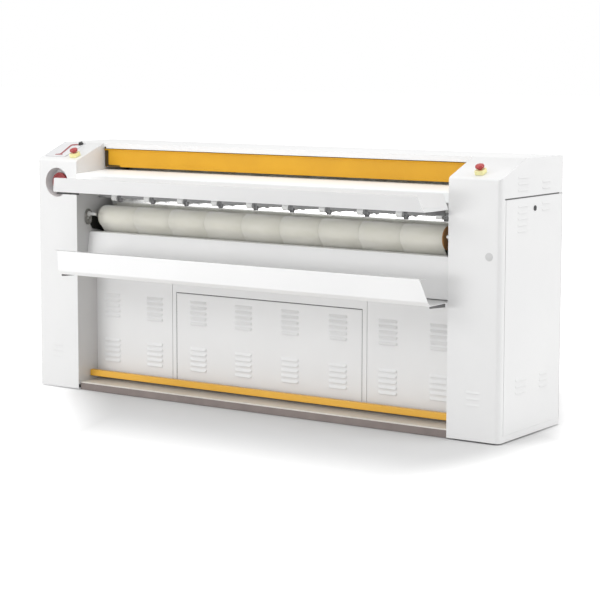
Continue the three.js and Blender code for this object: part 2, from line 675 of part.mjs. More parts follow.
function sidePlate(sign) {
  const [x0, x1] = spanX(sign, INNER_X, INNER_X + PLATE_THICKNESS);
  const inset = CASING_WALL + SEAT_GAP;
  let plate = extrudeX(columnOutline(inset, PLATE_BOTTOM), x0, x1);
  const [f0, f1] = spanX(sign, INNER_X + PLATE_THICKNESS - 1, INNER_X + PLATE_FLANGE_WIDTH);
  plate = plate.add(block(f0, f1, inset, COLUMN_DEPTH - inset, PLATE_BOTTOM, PLATE_BOTTOM + PLATE_THICKNESS));
  for (const [y, z, radius] of shaftHoles()) {
    plate = plate.subtract(rodX(y, z, holeRadius(radius), x0 - 1, x1 + 1));
  }
  for (const y of [FOOT_FRONT_Y, FOOT_REAR_Y]) {
    const hole = rodZ(sign * (INNER_X + FOOT_FROM_INNER), y, holeRadius(FOOT_STEM_RADIUS, 8), 20, 50, 8);
    plate = plate.subtract(hole);
  }
  if (sign > 0) {
    plate = plate.subtract(rodX(FAN_Y, FAN_Z, FAN_INLET_RADIUS, x0 - 1, x1 + 1, WHEEL_SIDES));
  }
  return plate;
}

function levellingFoot() {
  const pad = turnedZ([
    [0, 0], [0, FOOT_PAD_RADIUS], [FOOT_PAD_HEIGHT / 2, FOOT_PAD_RADIUS],
    [FOOT_PAD_HEIGHT, FOOT_STEM_RADIUS + 4], [FOOT_PAD_HEIGHT, 0],
  ], ROD_SIDES);
  const stem = rodZ(0, 0, FOOT_STEM_RADIUS, FOOT_PAD_HEIGHT - 1, FOOT_STEM_TOP, 8);
  const nutTop = PLATE_BOTTOM - SEAT_GAP;
  const nut = rodZ(0, 0, FOOT_NUT_RADIUS, nutTop - FOOT_NUT_HEIGHT, nutTop, 6);
  return join(pad, stem, nut);
}

// The door stands on the doorway's sill and tilts out about its lower outer edge.
function sideDoor(sign) {
  const fold = SIDE_DOOR_FOLD;
  const outward = pan(SIDE_DOOR_FRONT, SIDE_DOOR_REAR, 0, SIDE_DOOR_BOTTOM, SIDE_DOOR_TOP, fold);
  const lockZ = SIDE_DOOR_TOP - LOCK_DROP;
  const barrelHole = rodY(LOCK_Y, lockZ, holeRadius(LOCK_BARREL_RADIUS), -5, SHEET + 1);
  const camSweep = block(LOCK_Y - LOCK_CAM_WIDTH, LOCK_Y + LOCK_CAM_LENGTH, SHEET, fold + 1,
    SIDE_DOOR_TOP - SHEET - 1, SIDE_DOOR_TOP + 1);
  let door = cut(outward, barrelHole, camSweep);
  const groups = [
    [5, LOUVRE_WIDTH, SIDE_LOUVRE_FRONT_Y, SIDE_DOOR_TOP - SIDE_LOUVRE_FRONT_DROP],
    [2, SIDE_LOUVRE_REAR_WIDTH, SIDE_LOUVRE_REAR_Y, SIDE_DOOR_TOP - SIDE_LOUVRE_REAR_DROP],
    [3, LOUVRE_WIDTH, SIDE_LOUVRE_FRONT_Y, SIDE_LOUVRE_LOWER_Z],
    [3, SIDE_LOUVRE_REAR_WIDTH, SIDE_LOUVRE_REAR_Y, SIDE_LOUVRE_LOWER_Z],
  ];
  for (const [count, width, along, z] of groups) {
    door = pressLouvres(door, count, width, SIDE_LOUVRE_PITCH, [along, 0, z]);
  }
  // The pan is made facing -Y with the door's depth along X; turned, it faces outward.
  const turnedDoor = door.rotate([0, 0, 90]).translate([OUTER_X, 0, 0]);
  return sign > 0 ? turnedDoor : turnedDoor.mirror([1, 0, 0]);
}

// A key lock: head outside, barrel through the door, nut and cam behind it. The cam lies level
// at rest, unlocked, and turned up it reaches behind the casing above the door.
function doorLock(sign) {
  const nutFront = -SHEET - SEAT_GAP;
  const camBack = nutFront - LOCK_NUT_THICKNESS - LOCK_CAM_THICKNESS;
  const nut = rodX(0, 0, LOCK_NUT_RADIUS, nutFront - LOCK_NUT_THICKNESS, nutFront, 6);
  const head = rodX(0, 0, LOCK_HEAD_RADIUS, SEAT_GAP, LOCK_HEAD_HEIGHT);
  const keySlot = block(LOCK_HEAD_HEIGHT - 1.5, LOCK_HEAD_HEIGHT + 1, -1.2, 1.2, -6, 6);
  const barrel = rodX(0, 0, LOCK_BARREL_RADIUS, camBack, 1);
  const cam = extrudeX(rounded([
    [-LOCK_CAM_WIDTH / 2, -LOCK_CAM_WIDTH / 2, 6],
    [LOCK_CAM_LENGTH, -LOCK_CAM_WIDTH / 2, 4],
    [LOCK_CAM_LENGTH, LOCK_CAM_WIDTH / 2, 4],
    [-LOCK_CAM_WIDTH / 2, LOCK_CAM_WIDTH / 2, 6],
  ], 2), camBack, camBack + LOCK_CAM_THICKNESS);
  const lock = cut(join(head, barrel, nut, cam), keySlot);
  return sign > 0 ? lock : lock.mirror([1, 0, 0]);
}

place('left_column_casing', leftCasing(), whitePaint);
place('right_column_casing', rightCasing(), whitePaint);
for (const { name, sign } of SIDES) {
  place(`${name}_side_plate`, sidePlate(sign), whitePaint);
  place(`${name}_side_door`, sideDoor(sign), whitePaint);
  place(`${name}_door_lock`, doorLock(sign), blackPlastic,
    [sign * OUTER_X, LOCK_Y, SIDE_DOOR_TOP - LOCK_DROP]);
  for (const [end, y] of [['front', FOOT_FRONT_Y], ['rear', FOOT_REAR_Y]]) {
    place(`foot_${name}_${end}`, levellingFoot(), rubber, [sign * (INNER_X + FOOT_FROM_INNER), y, 0]);
  }
}

// ---------- base ----------
function crossTube(y) {
  const z = BASE_TRAY_TOP + SEAT_GAP;
  const outside = block(BAY_LEFT, BAY_RIGHT, y, y + TUBE_DEPTH, z, z + TUBE_HEIGHT);
  const inside = block(BAY_LEFT - 1, BAY_RIGHT + 1, y + TUBE_WALL, y + TUBE_DEPTH - TUBE_WALL,
    z + TUBE_WALL, z + TUBE_HEIGHT - TUBE_WALL);
  return outside.subtract(inside);
}

function baseTray() {
  const rear = COLUMN_DEPTH - 12;
  const path = [
    [BASE_TRAY_FRONT, BASE_TRAY_TOP - BASE_TRAY_LIP],
    [BASE_TRAY_FRONT, BASE_TRAY_TOP],
    [rear, BASE_TRAY_TOP],
    [rear, BASE_TRAY_TOP - BASE_TRAY_LIP],
  ];
  return bentSheet(path, BAY_LEFT, BAY_RIGHT, -SHEET);
}

place('front_cross_tube', crossTube(FRONT_TUBE_Y), castGrey);
place('rear_cross_tube', crossTube(REAR_TUBE_Y), castGrey);
place('base_tray', baseTray(), stripGrey);

// ---------- lower front ----------
function louvreColumnX(k) {
  return LOUVRE_FIRST_COLUMN_X + k * LOUVRE_COLUMN_PITCH;
}

function pressFrontLouvres(panel, firstColumn, lastColumn) {
  let result = panel;
  for (let k = firstColumn; k <= lastColumn; k += 1) {
    for (const z of [LOUVRE_LOWER_ROW_Z, LOUVRE_UPPER_ROW_Z]) {
      result = pressLouvres(result, LOUVRES_IN_GROUP, LOUVRE_WIDTH, LOUVRE_PITCH,
        [louvreColumnX(k), FRONT_PANEL_Y, z]);
    }
  }
  return result;
}

function lowerPanel(x0, x1, firstColumn) {
  const panel = pan(x0, x1, FRONT_PANEL_Y, FRONT_PANEL_BOTTOM, FRONT_PANEL_TOP);
  return pressFrontLouvres(panel, firstColumn, firstColumn + 1);
}

const DOOR_LEFT = DOOR_FRAME_LEFT + DOOR_SIDE_BORDER;
const DOOR_RIGHT = DOOR_FRAME_RIGHT - DOOR_SIDE_BORDER;

function doorFrame() {
  const frame = pan(DOOR_FRAME_LEFT, DOOR_FRAME_RIGHT, FRONT_PANEL_Y, FRONT_PANEL_BOTTOM, FRONT_PANEL_TOP);
  return frame.subtract(block(DOOR_LEFT - DOOR_GAP, DOOR_RIGHT + DOOR_GAP, FRONT_PANEL_Y - 1,
    FRONT_PANEL_Y + PANEL_FOLD + 1, DOOR_BOTTOM - SEAT_GAP, DOOR_TOP + DOOR_GAP));
}

function accessDoor() {
  const door = pan(DOOR_LEFT, DOOR_RIGHT, FRONT_PANEL_Y, DOOR_BOTTOM, DOOR_TOP);
  return pressFrontLouvres(door, 2, 5);
}

place('lower_panel_left', lowerPanel(BAY_LEFT, DOOR_FRAME_LEFT - PANEL_SEAM, 0), whitePaint);
place('lower_panel_right', lowerPanel(DOOR_FRAME_RIGHT + PANEL_SEAM, BAY_RIGHT, 6), whitePaint);
place('door_frame', doorFrame(), whitePaint);
place('access_door', accessDoor(), whitePaint);

// ---------- trays, apron and feed table ----------
// The lip leans outward and ends in a hem folded back inside.
function trayLip(front, floor, reach, top) {
  const hemY = reach + TRAY_HEM_GAP;
  return [[front, floor], [reach, top], [hemY, top + 1], [hemY - 1, top - TRAY_HEM]];
}

// Slants both ends of a lip inward towards its top, from just above the tray's floor.
function taperEnds(tray, end, taper, floor, top) {
  const start = floor + 3 * SHEET;
  const slant = taper / (top - start);
  const wedges = [-1, 1].map((side) => extrudeY([
    [side * (end + slant * SHEET), start - SHEET],
    [side * (end - taper - slant * SHEET), top + SHEET],
    [side * (end + taper), top + SHEET],
  ], LOWER_TRAY_LIP_REACH - UPPER_TRAY_REACH, 0));
  return cut(tray, ...wedges);
}

function upperTray() {
  const rearY = -SEAT_GAP;
  const end = BAY_RIGHT - UPPER_TRAY_END_INSET;
  const path = [
    [rearY, TABLE_FRONT_TOP - UPPER_TRAY_REAR_DROP],
    [rearY, UPPER_TRAY_FLOOR],
    ...trayLip(UPPER_TRAY_FRONT, UPPER_TRAY_FLOOR, UPPER_TRAY_LIP_REACH, UPPER_TRAY_LIP_TOP),
  ];
  const tray = bentSheet(path, -end, end, -SHEET);
  return taperEnds(tray, end, UPPER_TRAY_END_TAPER, UPPER_TRAY_FLOOR, UPPER_TRAY_LIP_TOP);
}

// Ahead of the columns it is a little narrower than the bay between them.
function lowerTray() {
  const rearY = FRONT_PANEL_Y - SEAT_GAP;
  const end = BAY_RIGHT - LOWER_TRAY_END_INSET;
  const foldTop = LOWER_TRAY_FLOOR + LOWER_TRAY_FRONT_FOLD;
  const path = [
    [rearY, LOWER_TRAY_FLOOR - LOWER_TRAY_REAR_FLANGE],
    [rearY, LOWER_TRAY_FLOOR],
    [LOWER_TRAY_FRONT, LOWER_TRAY_FLOOR],
    ...trayLip(LOWER_TRAY_FRONT, foldTop, LOWER_TRAY_LIP_REACH, LOWER_TRAY_LIP_TOP),
  ];
  const [frontY, below, above] = [LOWER_TRAY_LIP_REACH - 10, LOWER_TRAY_FLOOR - 10, LOWER_TRAY_LIP_TOP + 10];
  const tray = cut(bentSheet(path, BAY_LEFT, BAY_RIGHT, SHEET),
    block(BAY_LEFT - 1, -end, frontY, -SEAT_GAP, below, above),
    block(end, BAY_RIGHT + 1, frontY, -SEAT_GAP, below, above));
  return taperEnds(tray, end, LOWER_TRAY_END_TAPER, foldTop, LOWER_TRAY_LIP_TOP);
}

function feedTable() {
  const path = [
    [0, TABLE_FRONT_TOP - TABLE_FRONT_FLANGE],
    [0, TABLE_FRONT_TOP - TABLE_BEND],
    [TABLE_BEND, TABLE_FRONT_TOP],
    [TABLE_PEAK_Y, TABLE_PEAK_Z],
    [TABLE_PEAK_Y + TABLE_CREST, TABLE_PEAK_Z - 3],
    [TABLE_END_Y, TABLE_END_Z],
  ];
  return bentSheet(path, BAY_LEFT, BAY_RIGHT, -SHEET);
}

function apron() {
  const floor = LOWER_TRAY_FLOOR + SHEET + SEAT_GAP;
  const path = [
    [APRON_TOP_Y + APRON_HOOK, APRON_TOP_Z + 3],
    [APRON_TOP_Y, APRON_TOP_Z],
    [APRON_BOTTOM_Y, floor + SHEET],
    [APRON_BOTTOM_Y + APRON_FOOT, floor + SHEET],
  ];
  return bentSheet(path, BAY_LEFT, BAY_RIGHT, SHEET);
}

place('upper_tray', upperTray(), whitePaint);
place('lower_tray', lowerTray(), whitePaint);
place('feed_table', feedTable(), whitePaint);
place('apron', apron(), whitePaint);

// ---------- top cover and rear panel ----------
function topCover() {
  const rear = COLUMN_DEPTH;
  const path = [
    [COVER_FRONT + 8, COLUMN_HEIGHT - COVER_LIP],
    [COVER_FRONT, COLUMN_HEIGHT - COVER_LIP],
    [COVER_FRONT, COLUMN_HEIGHT],
    [rear, COLUMN_HEIGHT],
    [rear, COLUMN_HEIGHT - COVER_REAR_FLANGE],
  ];
  return bentSheet(path, BAY_LEFT, BAY_RIGHT, -SHEET);
}

function rearPanel() {
  const top = COLUMN_HEIGHT - COVER_REAR_FLANGE - SEAT_GAP;
  let panel = pan(BAY_LEFT, BAY_RIGHT, 0, REAR_PANEL_BOTTOM, top, 10);
  for (const x of [-REAR_LOUVRE_X, REAR_LOUVRE_X]) {
    panel = pressLouvres(panel, LOUVRES_IN_GROUP, LOUVRE_WIDTH, LOUVRE_PITCH, [x, 0, LOUVRE_LOWER_ROW_Z]);
  }
  return panel.rotate([0, 0, 180]).translate([0, COLUMN_DEPTH, 0]);
}

place('top_cover', topCover(), whitePaint);
place('rear_panel', rearPanel(), whitePaint);

// ---------- finger guard ----------
// It hangs from a rod under the cover's lip. Pushed in by a hand, it swings back and stops
// the machine. Its frame has the rod's axis at the origin.
function fingerGuard() {
  const [left, right] = [BAY_LEFT + RUNNING_END_GAP, BAY_RIGHT - RUNNING_END_GAP];
  const drop = GUARD_TOP - GUARD_BOTTOM;
  const path = [
    [-GUARD_THICKNESS / 2, 2],
    [-GUARD_THICKNESS / 2, -drop],
    [GUARD_HEM, -drop + 1],
    [GUARD_HEM, -drop + GUARD_HEM],
  ];
  const plate = bentSheet(path, left, right, GUARD_THICKNESS * 0.66);
  const rodEnd = INNER_X + PLATE_THICKNESS;
  return plate.add(rodX(0, 0, GUARD_ROD_RADIUS, -rodEnd, rodEnd, 12));
}

place('finger_guard', fingerGuard(), orangePaint, [0, GUARD_Y, GUARD_TOP]);

// ---------- foot bar ----------
function footBarMiddleZ() {
  return FOOT_BAR_BOTTOM + FOOT_BAR_HEIGHT / 2;
}

// A channel with an arm at each end, turning on pins in the side plates. The pins' axis is
// at the origin of its frame.
function footBar() {
  const [left, right] = [BAY_LEFT + RUNNING_END_GAP, BAY_RIGHT - RUNNING_END_GAP];
  const front = FOOT_BAR_FRONT - FOOT_BAR_PIVOT_Y;
  const half = FOOT_BAR_HEIGHT / 2;
  const outline = rounded([
    [front, -half, 5], [front + FOOT_BAR_DEPTH, -half], [front + FOOT_BAR_DEPTH, half], [front, half, 5],
  ], 3);
  const hollow = block(left - 1, right + 1, front + FOOT_BAR_WALL, front + FOOT_BAR_DEPTH + 1,
    -half + FOOT_BAR_WALL, half - FOOT_BAR_WALL);
  let bar = extrudeX(outline, left, right).subtract(hollow);
  for (const { sign } of SIDES) {
    const [a0, a1] = spanX(sign, right - FOOT_BAR_ARM, right);
    const arm = extrudeX(rounded([
      [front + 1, -half + 2], [8, -9, 8], [8, 9, 8], [front + 1, half - 2],
    ], 3), a0, a1);
    const [p0, p1] = spanX(sign, right - FOOT_BAR_ARM, INNER_X + PLATE_THICKNESS);
    bar = join(bar, arm, rodX(0, 0, FOOT_BAR_PIN_RADIUS, p0, p1, 12));
  }
  return bar;
}

place('foot_bar', footBar(), orangePaint, [0, FOOT_BAR_PIVOT_Y, footBarMiddleZ()]);

// ---------- heated cylinder, bearings and heater bank ----------
function heatedCylinder() {
  const end = INNER_X + CYLINDER_JOURNAL_REACH;
  const [left, right] = [CYLINDER_LEFT, CYLINDER_RIGHT];
  const [journal, bore] = [CYLINDER_JOURNAL_RADIUS, CYLINDER_JOURNAL_BORE];
  const inner = CYLINDER_RADIUS - CYLINDER_WALL;
  const profile = [
    [-end, journal], [left, journal], [left, CYLINDER_RADIUS], [right, CYLINDER_RADIUS],
    [right, journal], [end, journal], [end, bore], [right - CYLINDER_WALL, bore],
    [right - CYLINDER_WALL, inner], [left + CYLINDER_WALL, inner], [left + CYLINDER_WALL, bore],
    [-end, bore], [-end, journal],
  ];
  return turned(profile, DRUM_SIDES);
}

// A flanged bearing on the outside of the plate. The left one also has the yoke that holds
// the end of the fixed heater tube clear of the turning journal.
function cylinderBearing(sign) {
  const [x0, x1] = spanX(sign, INNER_X + PLATE_THICKNESS + SEAT_GAP, INNER_X + PLATE_THICKNESS + BEARING_LENGTH);
  let bearing = rodX(0, 0, BEARING_RADIUS, x0, x1, WHEEL_SIDES);
  if (sign < 0) {
    const yokeEnd = -(INNER_X + YOKE_REACH);
    const arm = block(yokeEnd, x0 + 1, -YOKE_HEIGHT / 2, YOKE_HEIGHT / 2, -BEARING_RADIUS + 4, -BEARING_RADIUS + 14);
    const cheek = block(yokeEnd, yokeEnd + 8, -YOKE_HEIGHT / 2, YOKE_HEIGHT / 2, -BEARING_RADIUS + 4, YOKE_HEIGHT / 2);
    const tubeHole = rodX(0, 0, (HEATER_TUBE_RADIUS + SEAT_GAP) / Math.cos(Math.PI / ROD_SIDES),
      yokeEnd - 1, yokeEnd + 9);
    bearing = join(bearing, arm, cheek).subtract(tubeHole);
  }
  const journalHole = rodX(0, 0, holeRadius(CYLINDER_JOURNAL_RADIUS, WHEEL_SIDES), x0 - 1, x1 + 1,
    WHEEL_SIDES);
  return bearing.subtract(journalHole);
}

function heaterBank() {
  const leftEnd = -(INNER_X + YOKE_REACH + 12);
  const rightEnd = INNER_X + CYLINDER_JOURNAL_REACH - 6;
  let bank = rodX(0, 0, HEATER_TUBE_RADIUS, leftEnd, rightEnd);
  bank = bank.add(rodX(0, 0, CYLINDER_JOURNAL_BORE - SHAFT_CLEARANCE, rightEnd - 40, rightEnd));
  const [first, last] = [CYLINDER_LEFT + HEATER_DISC_INSET, CYLINDER_RIGHT - HEATER_DISC_INSET];
  for (let k = 0; k < HEATER_DISC_COUNT; k += 1) {
    const x = first + ((last - first) * k) / (HEATER_DISC_COUNT - 1);
    bank = bank.add(rodX(0, 0, HEATER_DISC_RADIUS, x - HEATER_DISC_THICKNESS / 2,
      x + HEATER_DISC_THICKNESS / 2));
  }
  for (let k = 0; k < HEATER_ROD_COUNT; k += 1) {
    const angle = (2 * Math.PI * k) / HEATER_ROD_COUNT;
    const [y, z] = [Math.cos(angle) * HEATER_ROD_CIRCLE, Math.sin(angle) * HEATER_ROD_CIRCLE];
    bank = bank.add(rodX(y, z, HEATER_ROD_RADIUS, first - 30, last + 30, 4));
  }
  return bank;
}

const cylinderAxis = [0, CYLINDER_Y, CYLINDER_Z];
place('heated_cylinder', heatedCylinder(), chrome, cylinderAxis);
place('cylinder_bearing_left', cylinderBearing(-1), castGrey, cylinderAxis);
place('cylinder_bearing_right', cylinderBearing(1), castGrey, cylinderAxis);
place('heater_bank', heaterBank(), steel, cylinderAxis);

// ---------- rollers ----------
function roller(radius, sides) {
  const end = INNER_X + PLATE_THICKNESS + 4;
  const [left, right] = [CYLINDER_LEFT - 5, CYLINDER_RIGHT + 3];
  const shaft = ROLLER_SHAFT_RADIUS;
  return turned([
    [-end, 0], [-end, shaft], [left, shaft], [left, radius], [right, radius], [right, shaft], [end, shaft], [end, 0],
  ], sides);
}

const ROLLERS = [
  { name: 'top_roller', y: TOP_ROLLER_Y, z: TOP_ROLLER_Z, radius: IDLER_RADIUS, sides: 14 },
  { name: 'front_roller', y: FRONT_ROLLER_Y, z: FRONT_ROLLER_Z, radius: FRONT_ROLLER_RADIUS, sides: 20 },
  { name: 'tension_roller', y: REAR_ROLLER_Y, z: TENSION_ROLLER_Z, radius: IDLER_RADIUS, sides: 14 },
  { name: 'rear_roller', y: REAR_ROLLER_Y, z: REAR_ROLLER_Z, radius: IDLER_RADIUS, sides: 14 },
];
for (const { name, y, z, radius, sides } of ROLLERS) {
  place(name, roller(radius, sides), steel, [0, y, z]);
}

// ---------- loops round wheels: belts and the chain ----------
// The middle line of a band that runs round wheels [y, z, radius, way], where way is 1 for
// anticlockwise and -1 for clockwise. Corners of each arc lie outside it, so that its flats
// touch it and the wheel inside stays clear.
function loopLine(wheels, step) {
  const runs = wheels.map((from, i) => {
    const to = wheels[(i + 1) % wheels.length];
    const [dy, dz] = [to[0] - from[0], to[1] - from[1]];
    const lean = (from[3] * from[2] - to[3] * to[2]) / Math.hypot(dy, dz);
    return Math.atan2(dz, dy) + Math.asin(THREE.MathUtils.clamp(lean, -1, 1));
  });
  const points = [];
  wheels.forEach(([y, z, radius, way], i) => {
    const arrive = runs.at(i - 1) - (way * Math.PI) / 2;
    let sweep = way * (runs[i] - runs.at(i - 1));
    while (sweep < 0) sweep += 2 * Math.PI;
    while (sweep > 2 * Math.PI) sweep -= 2 * Math.PI;
    const steps = Math.max(1, Math.ceil(sweep / step));
    const each = sweep / steps;
    for (let k = 0; k < steps; k += 1) {
      const angle = arrive + way * each * (k + 0.5);
      const reach = radius / Math.cos(each / 2);
      points.push([y + reach * Math.cos(angle), z + reach * Math.sin(angle)]);
    }
  });
  return points;
}

function band(line, thickness, x0, x1) {
  const loop = [line.at(-1), ...line, line[0]];
  const outer = offsetPath(loop, -thickness / 2).slice(1, -1);
  const inner = offsetPath(loop, thickness / 2).slice(1, -1);
  return extrudeX(outer, x0, x1, [inner]);
}

const beltHalf = SEAT_GAP + BELT_THICKNESS / 2;
const beltLine = loopLine([
  [TOP_ROLLER_Y, TOP_ROLLER_Z, IDLER_RADIUS + beltHalf, 1],
  [CYLINDER_Y, CYLINDER_Z, CYLINDER_RADIUS + beltHalf, -1],
  [FRONT_ROLLER_Y, FRONT_ROLLER_Z, FRONT_ROLLER_RADIUS + beltHalf, 1],
  [REAR_ROLLER_Y, TENSION_ROLLER_Z, IDLER_RADIUS + beltHalf, 1],
  [REAR_ROLLER_Y, REAR_ROLLER_Z, IDLER_RADIUS + beltHalf, 1],
], BELT_STEP);
const beltPitch = (CYLINDER_RIGHT - CYLINDER_LEFT) / BELT_COUNT;
for (let k = 0; k < BELT_COUNT; k += 1) {
  const width = beltPitch - BELT_SPACING;
  place(`belt_${k + 1}`, band(beltLine, BELT_THICKNESS, -width / 2, width / 2), beltFelt,
    [CYLINDER_LEFT + (k + 0.5) * beltPitch, 0, 0]);
}

// ---------- stripper bar ----------
// Ten white fingers on arms of one bar, their tips just off the cylinder.
function stripperBar() {
  const end = INNER_X + PLATE_THICKNESS;
  let bar = rodX(0, 0, STRIPPER_BAR_RADIUS, -end, end, 12);
  const toCylinder = new THREE.Vector2(CYLINDER_Y - STRIPPER_BAR_Y, CYLINDER_Z - STRIPPER_BAR_Z);
  const tipZ = -24;
  const chord = CYLINDER_RADIUS + STRIPPER_TIP_GAP;
  const tipY = toCylinder.x - Math.sqrt(chord ** 2 - (toCylinder.y - tipZ) ** 2);
  const [half, first] = [STRIPPER_BLOCK_WIDTH / 2, CYLINDER_CENTRE_X - ((STRIPPER_COUNT - 1) * STRIPPER_PITCH) / 2];
  for (let k = 0; k < STRIPPER_COUNT; k += 1) {
    const x = first + k * STRIPPER_PITCH;
    const finger = [[-6, 2], [-5, tipZ], [tipY, tipZ], [6, 3]];
    bar = bar.add(extrudeX(finger, x - half, x + half));
    bar = bar.add(rodX(0, -14, 7, x + half - 1, x + half + 22, 6));
  }
  return bar;
}

place('stripper_bar', stripperBar(), fingerWhite, [0, STRIPPER_BAR_Y, STRIPPER_BAR_Z]);

// ---------- drive ----------
function pitchRadius(teeth) {
  return (teeth * SPROCKET_MODULE) / 2;
}

function sprocketOutline(teeth) {
  const radius = pitchRadius(teeth);
  const points = [];
  for (let k = 0; k < teeth; k += 1) {
    const step = (2 * Math.PI) / teeth;
    for (const [part, reach] of [[-0.3, -3.2], [0, 3], [0.3, -3.2]]) {
      const angle = step * (k + part);
      points.push([(radius + reach) * Math.cos(angle), (radius + reach) * Math.sin(angle)]);
    }
  }
  return points;
}

function sprocket(teeth, boreRadius, hubRadius, hubLength) {
  const half = SPROCKET_WIDTH / 2;
  const disc = extrudeX(sprocketOutline(teeth), -half, half);
  const hub = rodX(0, 0, hubRadius, -hubLength, half, WHEEL_SIDES);
  const bore = rodX(0, 0, (boreRadius + SEAT_GAP) / Math.cos(Math.PI / WHEEL_SIDES),
    -hubLength - 1, half + 1, WHEEL_SIDES);
  return disc.add(hub).subtract(bore);
}

function driveChain() {
  const outside = 3 + SEAT_GAP + CHAIN_HEIGHT / 2;
  const line = loopLine([
    [CYLINDER_Y, CYLINDER_Z, pitchRadius(CYLINDER_TEETH) + outside, 1],
    [MOTOR_Y, MOTOR_Z, pitchRadius(MOTOR_TEETH) + outside, 1],
  ], BELT_STEP);
  return band(line, CHAIN_HEIGHT, SPROCKET_X - CHAIN_WIDTH / 2, SPROCKET_X + CHAIN_WIDTH / 2);
}

// Worm gearbox bolted to the plate on its foot, with the motor lying along Y.
function gearMotor() {
  const half = GEARBOX_SIZE / 2;
  const box = extrudeX(rounded([
    [-half, -half, 16], [half, -half, 16], [half, half, 16], [-half, half, 16],
  ], 3), GEARBOX_X, GEARBOX_X + GEARBOX_WIDTH);
  const plateFace = INNER_X + PLATE_THICKNESS + SEAT_GAP;
  const legs = block(plateFace, GEARBOX_X + 10, -half, half, -half - 10, -half + 4);
  const middle = GEARBOX_X + GEARBOX_WIDTH / 2 + 10;
  const can = rodY(middle, 0, MOTOR_RADIUS, -half - MOTOR_LENGTH, -half + 4, WHEEL_SIDES);
  const shaftHole = rodX(0, 0, holeRadius(MOTOR_SHAFT_RADIUS), GEARBOX_X - 1, GEARBOX_X + 50);
  return join(box, legs, can).subtract(shaftHole);
}

function motorSprocket() {
  const wheel = sprocket(MOTOR_TEETH, 1, 20, 10);
  const shaft = rodX(0, 0, MOTOR_SHAFT_RADIUS, -14, GEARBOX_X + 40 - SPROCKET_X);
  return wheel.add(shaft);
}

place('gear_motor', gearMotor(), castGrey, [0, MOTOR_Y, MOTOR_Z]);
place('motor_sprocket', motorSprocket(), zincSteel, [SPROCKET_X, MOTOR_Y, MOTOR_Z]);
place('cylinder_sprocket', sprocket(CYLINDER_TEETH, CYLINDER_JOURNAL_RADIUS, 46, 12), zincSteel,
  [SPROCKET_X, CYLINDER_Y, CYLINDER_Z]);
place('drive_chain', driveChain(), zincSteel);

// ---------- exhaust fan ----------
function fanCentreX() {
  return INNER_X + PLATE_THICKNESS + SEAT_GAP + FAN_WIDTH / 2;
}

// Scroll housing on the plate, with its motor outboard and its spigot through the back wall.
function fanHousing() {
  const [x0, x1] = [-FAN_WIDTH / 2, FAN_WIDTH / 2];
  const outside = rodX(0, 0, FAN_SCROLL_RADIUS, x0, x1, WHEEL_SIDES);
  const inside = rodX(0, 0, FAN_SCROLL_RADIUS - SHEET, x0 + SHEET, x1 - SHEET, WHEEL_SIDES);
  const inlet = rodX(0, 0, FAN_INLET_RADIUS, x0 - 1, x0 + SHEET + 1, WHEEL_SIDES);
  const rear = COLUMN_DEPTH + SPIGOT_PROUD - FAN_Y;
  const flare = FAN_SCROLL_RADIUS + 14;
  const inner = SPIGOT_RADIUS - SHEET;
  const throat = block(-SPIGOT_RADIUS, SPIGOT_RADIUS, 0, flare, -SPIGOT_RADIUS, SPIGOT_RADIUS);
  const spigot = rodY(0, 0, SPIGOT_RADIUS, flare - SHEET, rear, WHEEL_SIDES);
  const throatHollow = block(-inner, inner, 0, flare - SHEET, -inner, inner);
  const spigotHollow = rodY(0, 0, inner, flare - SHEET - 1, rear + 1, WHEEL_SIDES);
  const motor = rodX(0, 0, FAN_MOTOR_RADIUS, x1 - 1, x1 + FAN_MOTOR_LENGTH);
  const shaftHole = rodX(0, 0, holeRadius(FAN_SHAFT_RADIUS), x1 - 3, x1 + 36);
  return cut(join(outside, throat, spigot, motor), inside, inlet, throatHollow, spigotHollow, shaftHole);
}

function fanWheel() {
  const [x0, x1] = [-FAN_WIDTH / 2 + 12, FAN_WIDTH / 2 - 10];
  let wheel = rodX(0, 0, FAN_WHEEL_RADIUS, x1 - 2, x1, WHEEL_SIDES);
  wheel = wheel.add(rodX(0, 0, 14, x1 - 24, x1));
  wheel = wheel.add(rodX(0, 0, FAN_SHAFT_RADIUS, x1 - 1, x1 + 40));
  for (let k = 0; k < FAN_BLADES; k += 1) {
    const blade = block(x0, x1 - 1, FAN_INLET_RADIUS + 2, FAN_WHEEL_RADIUS - 4, 10, 12.4);
    wheel = wheel.add(blade.rotate([(360 * k) / FAN_BLADES, 0, 0]));
  }
  return wheel;
}

place('exhaust_fan_housing', fanHousing(), zincSteel, [fanCentreX(), FAN_Y, FAN_Z]);
place('fan_wheel', fanWheel(), zincSteel, [fanCentreX(), FAN_Y, FAN_Z]);

// ---------- electrical box and cable gland ----------
function electricalBox() {
  const plateFace = INNER_X + PLATE_THICKNESS + SEAT_GAP;
  const outside = block(-plateFace - BOX_DEPTH, -plateFace, 0, BOX_LENGTH, 0, BOX_HEIGHT);
  const inside = block(-plateFace - BOX_DEPTH + SHEET, -plateFace + 1, SHEET, BOX_LENGTH - SHEET,
    SHEET, BOX_HEIGHT - SHEET);
  const lid = block(-plateFace - BOX_DEPTH - 3, -plateFace - BOX_DEPTH + 1, -5, BOX_LENGTH + 5, -5, BOX_HEIGHT + 5);
  return outside.add(lid).subtract(inside);
}

function cableGland() {
  const flange = rodY(0, 0, GLAND_RADIUS + 5, SEAT_GAP, 7, 6);
  const dome = rodY(0, 0, GLAND_RADIUS - 1, 6, 20);
  const thread = rodY(0, 0, GLAND_RADIUS, -14, 1);
  const bore = rodY(0, 0, GLAND_RADIUS - 6, -15, 21);
  return join(flange, dome, thread).subtract(bore);
}

place('electrical_box', electricalBox(), panelGrey, [0, BOX_Y, BOX_Z]);
place('cable_gland', cableGland(), blackPlastic, [-(INNER_X + GLAND_FROM_INNER), COLUMN_DEPTH, GLAND_Z]);

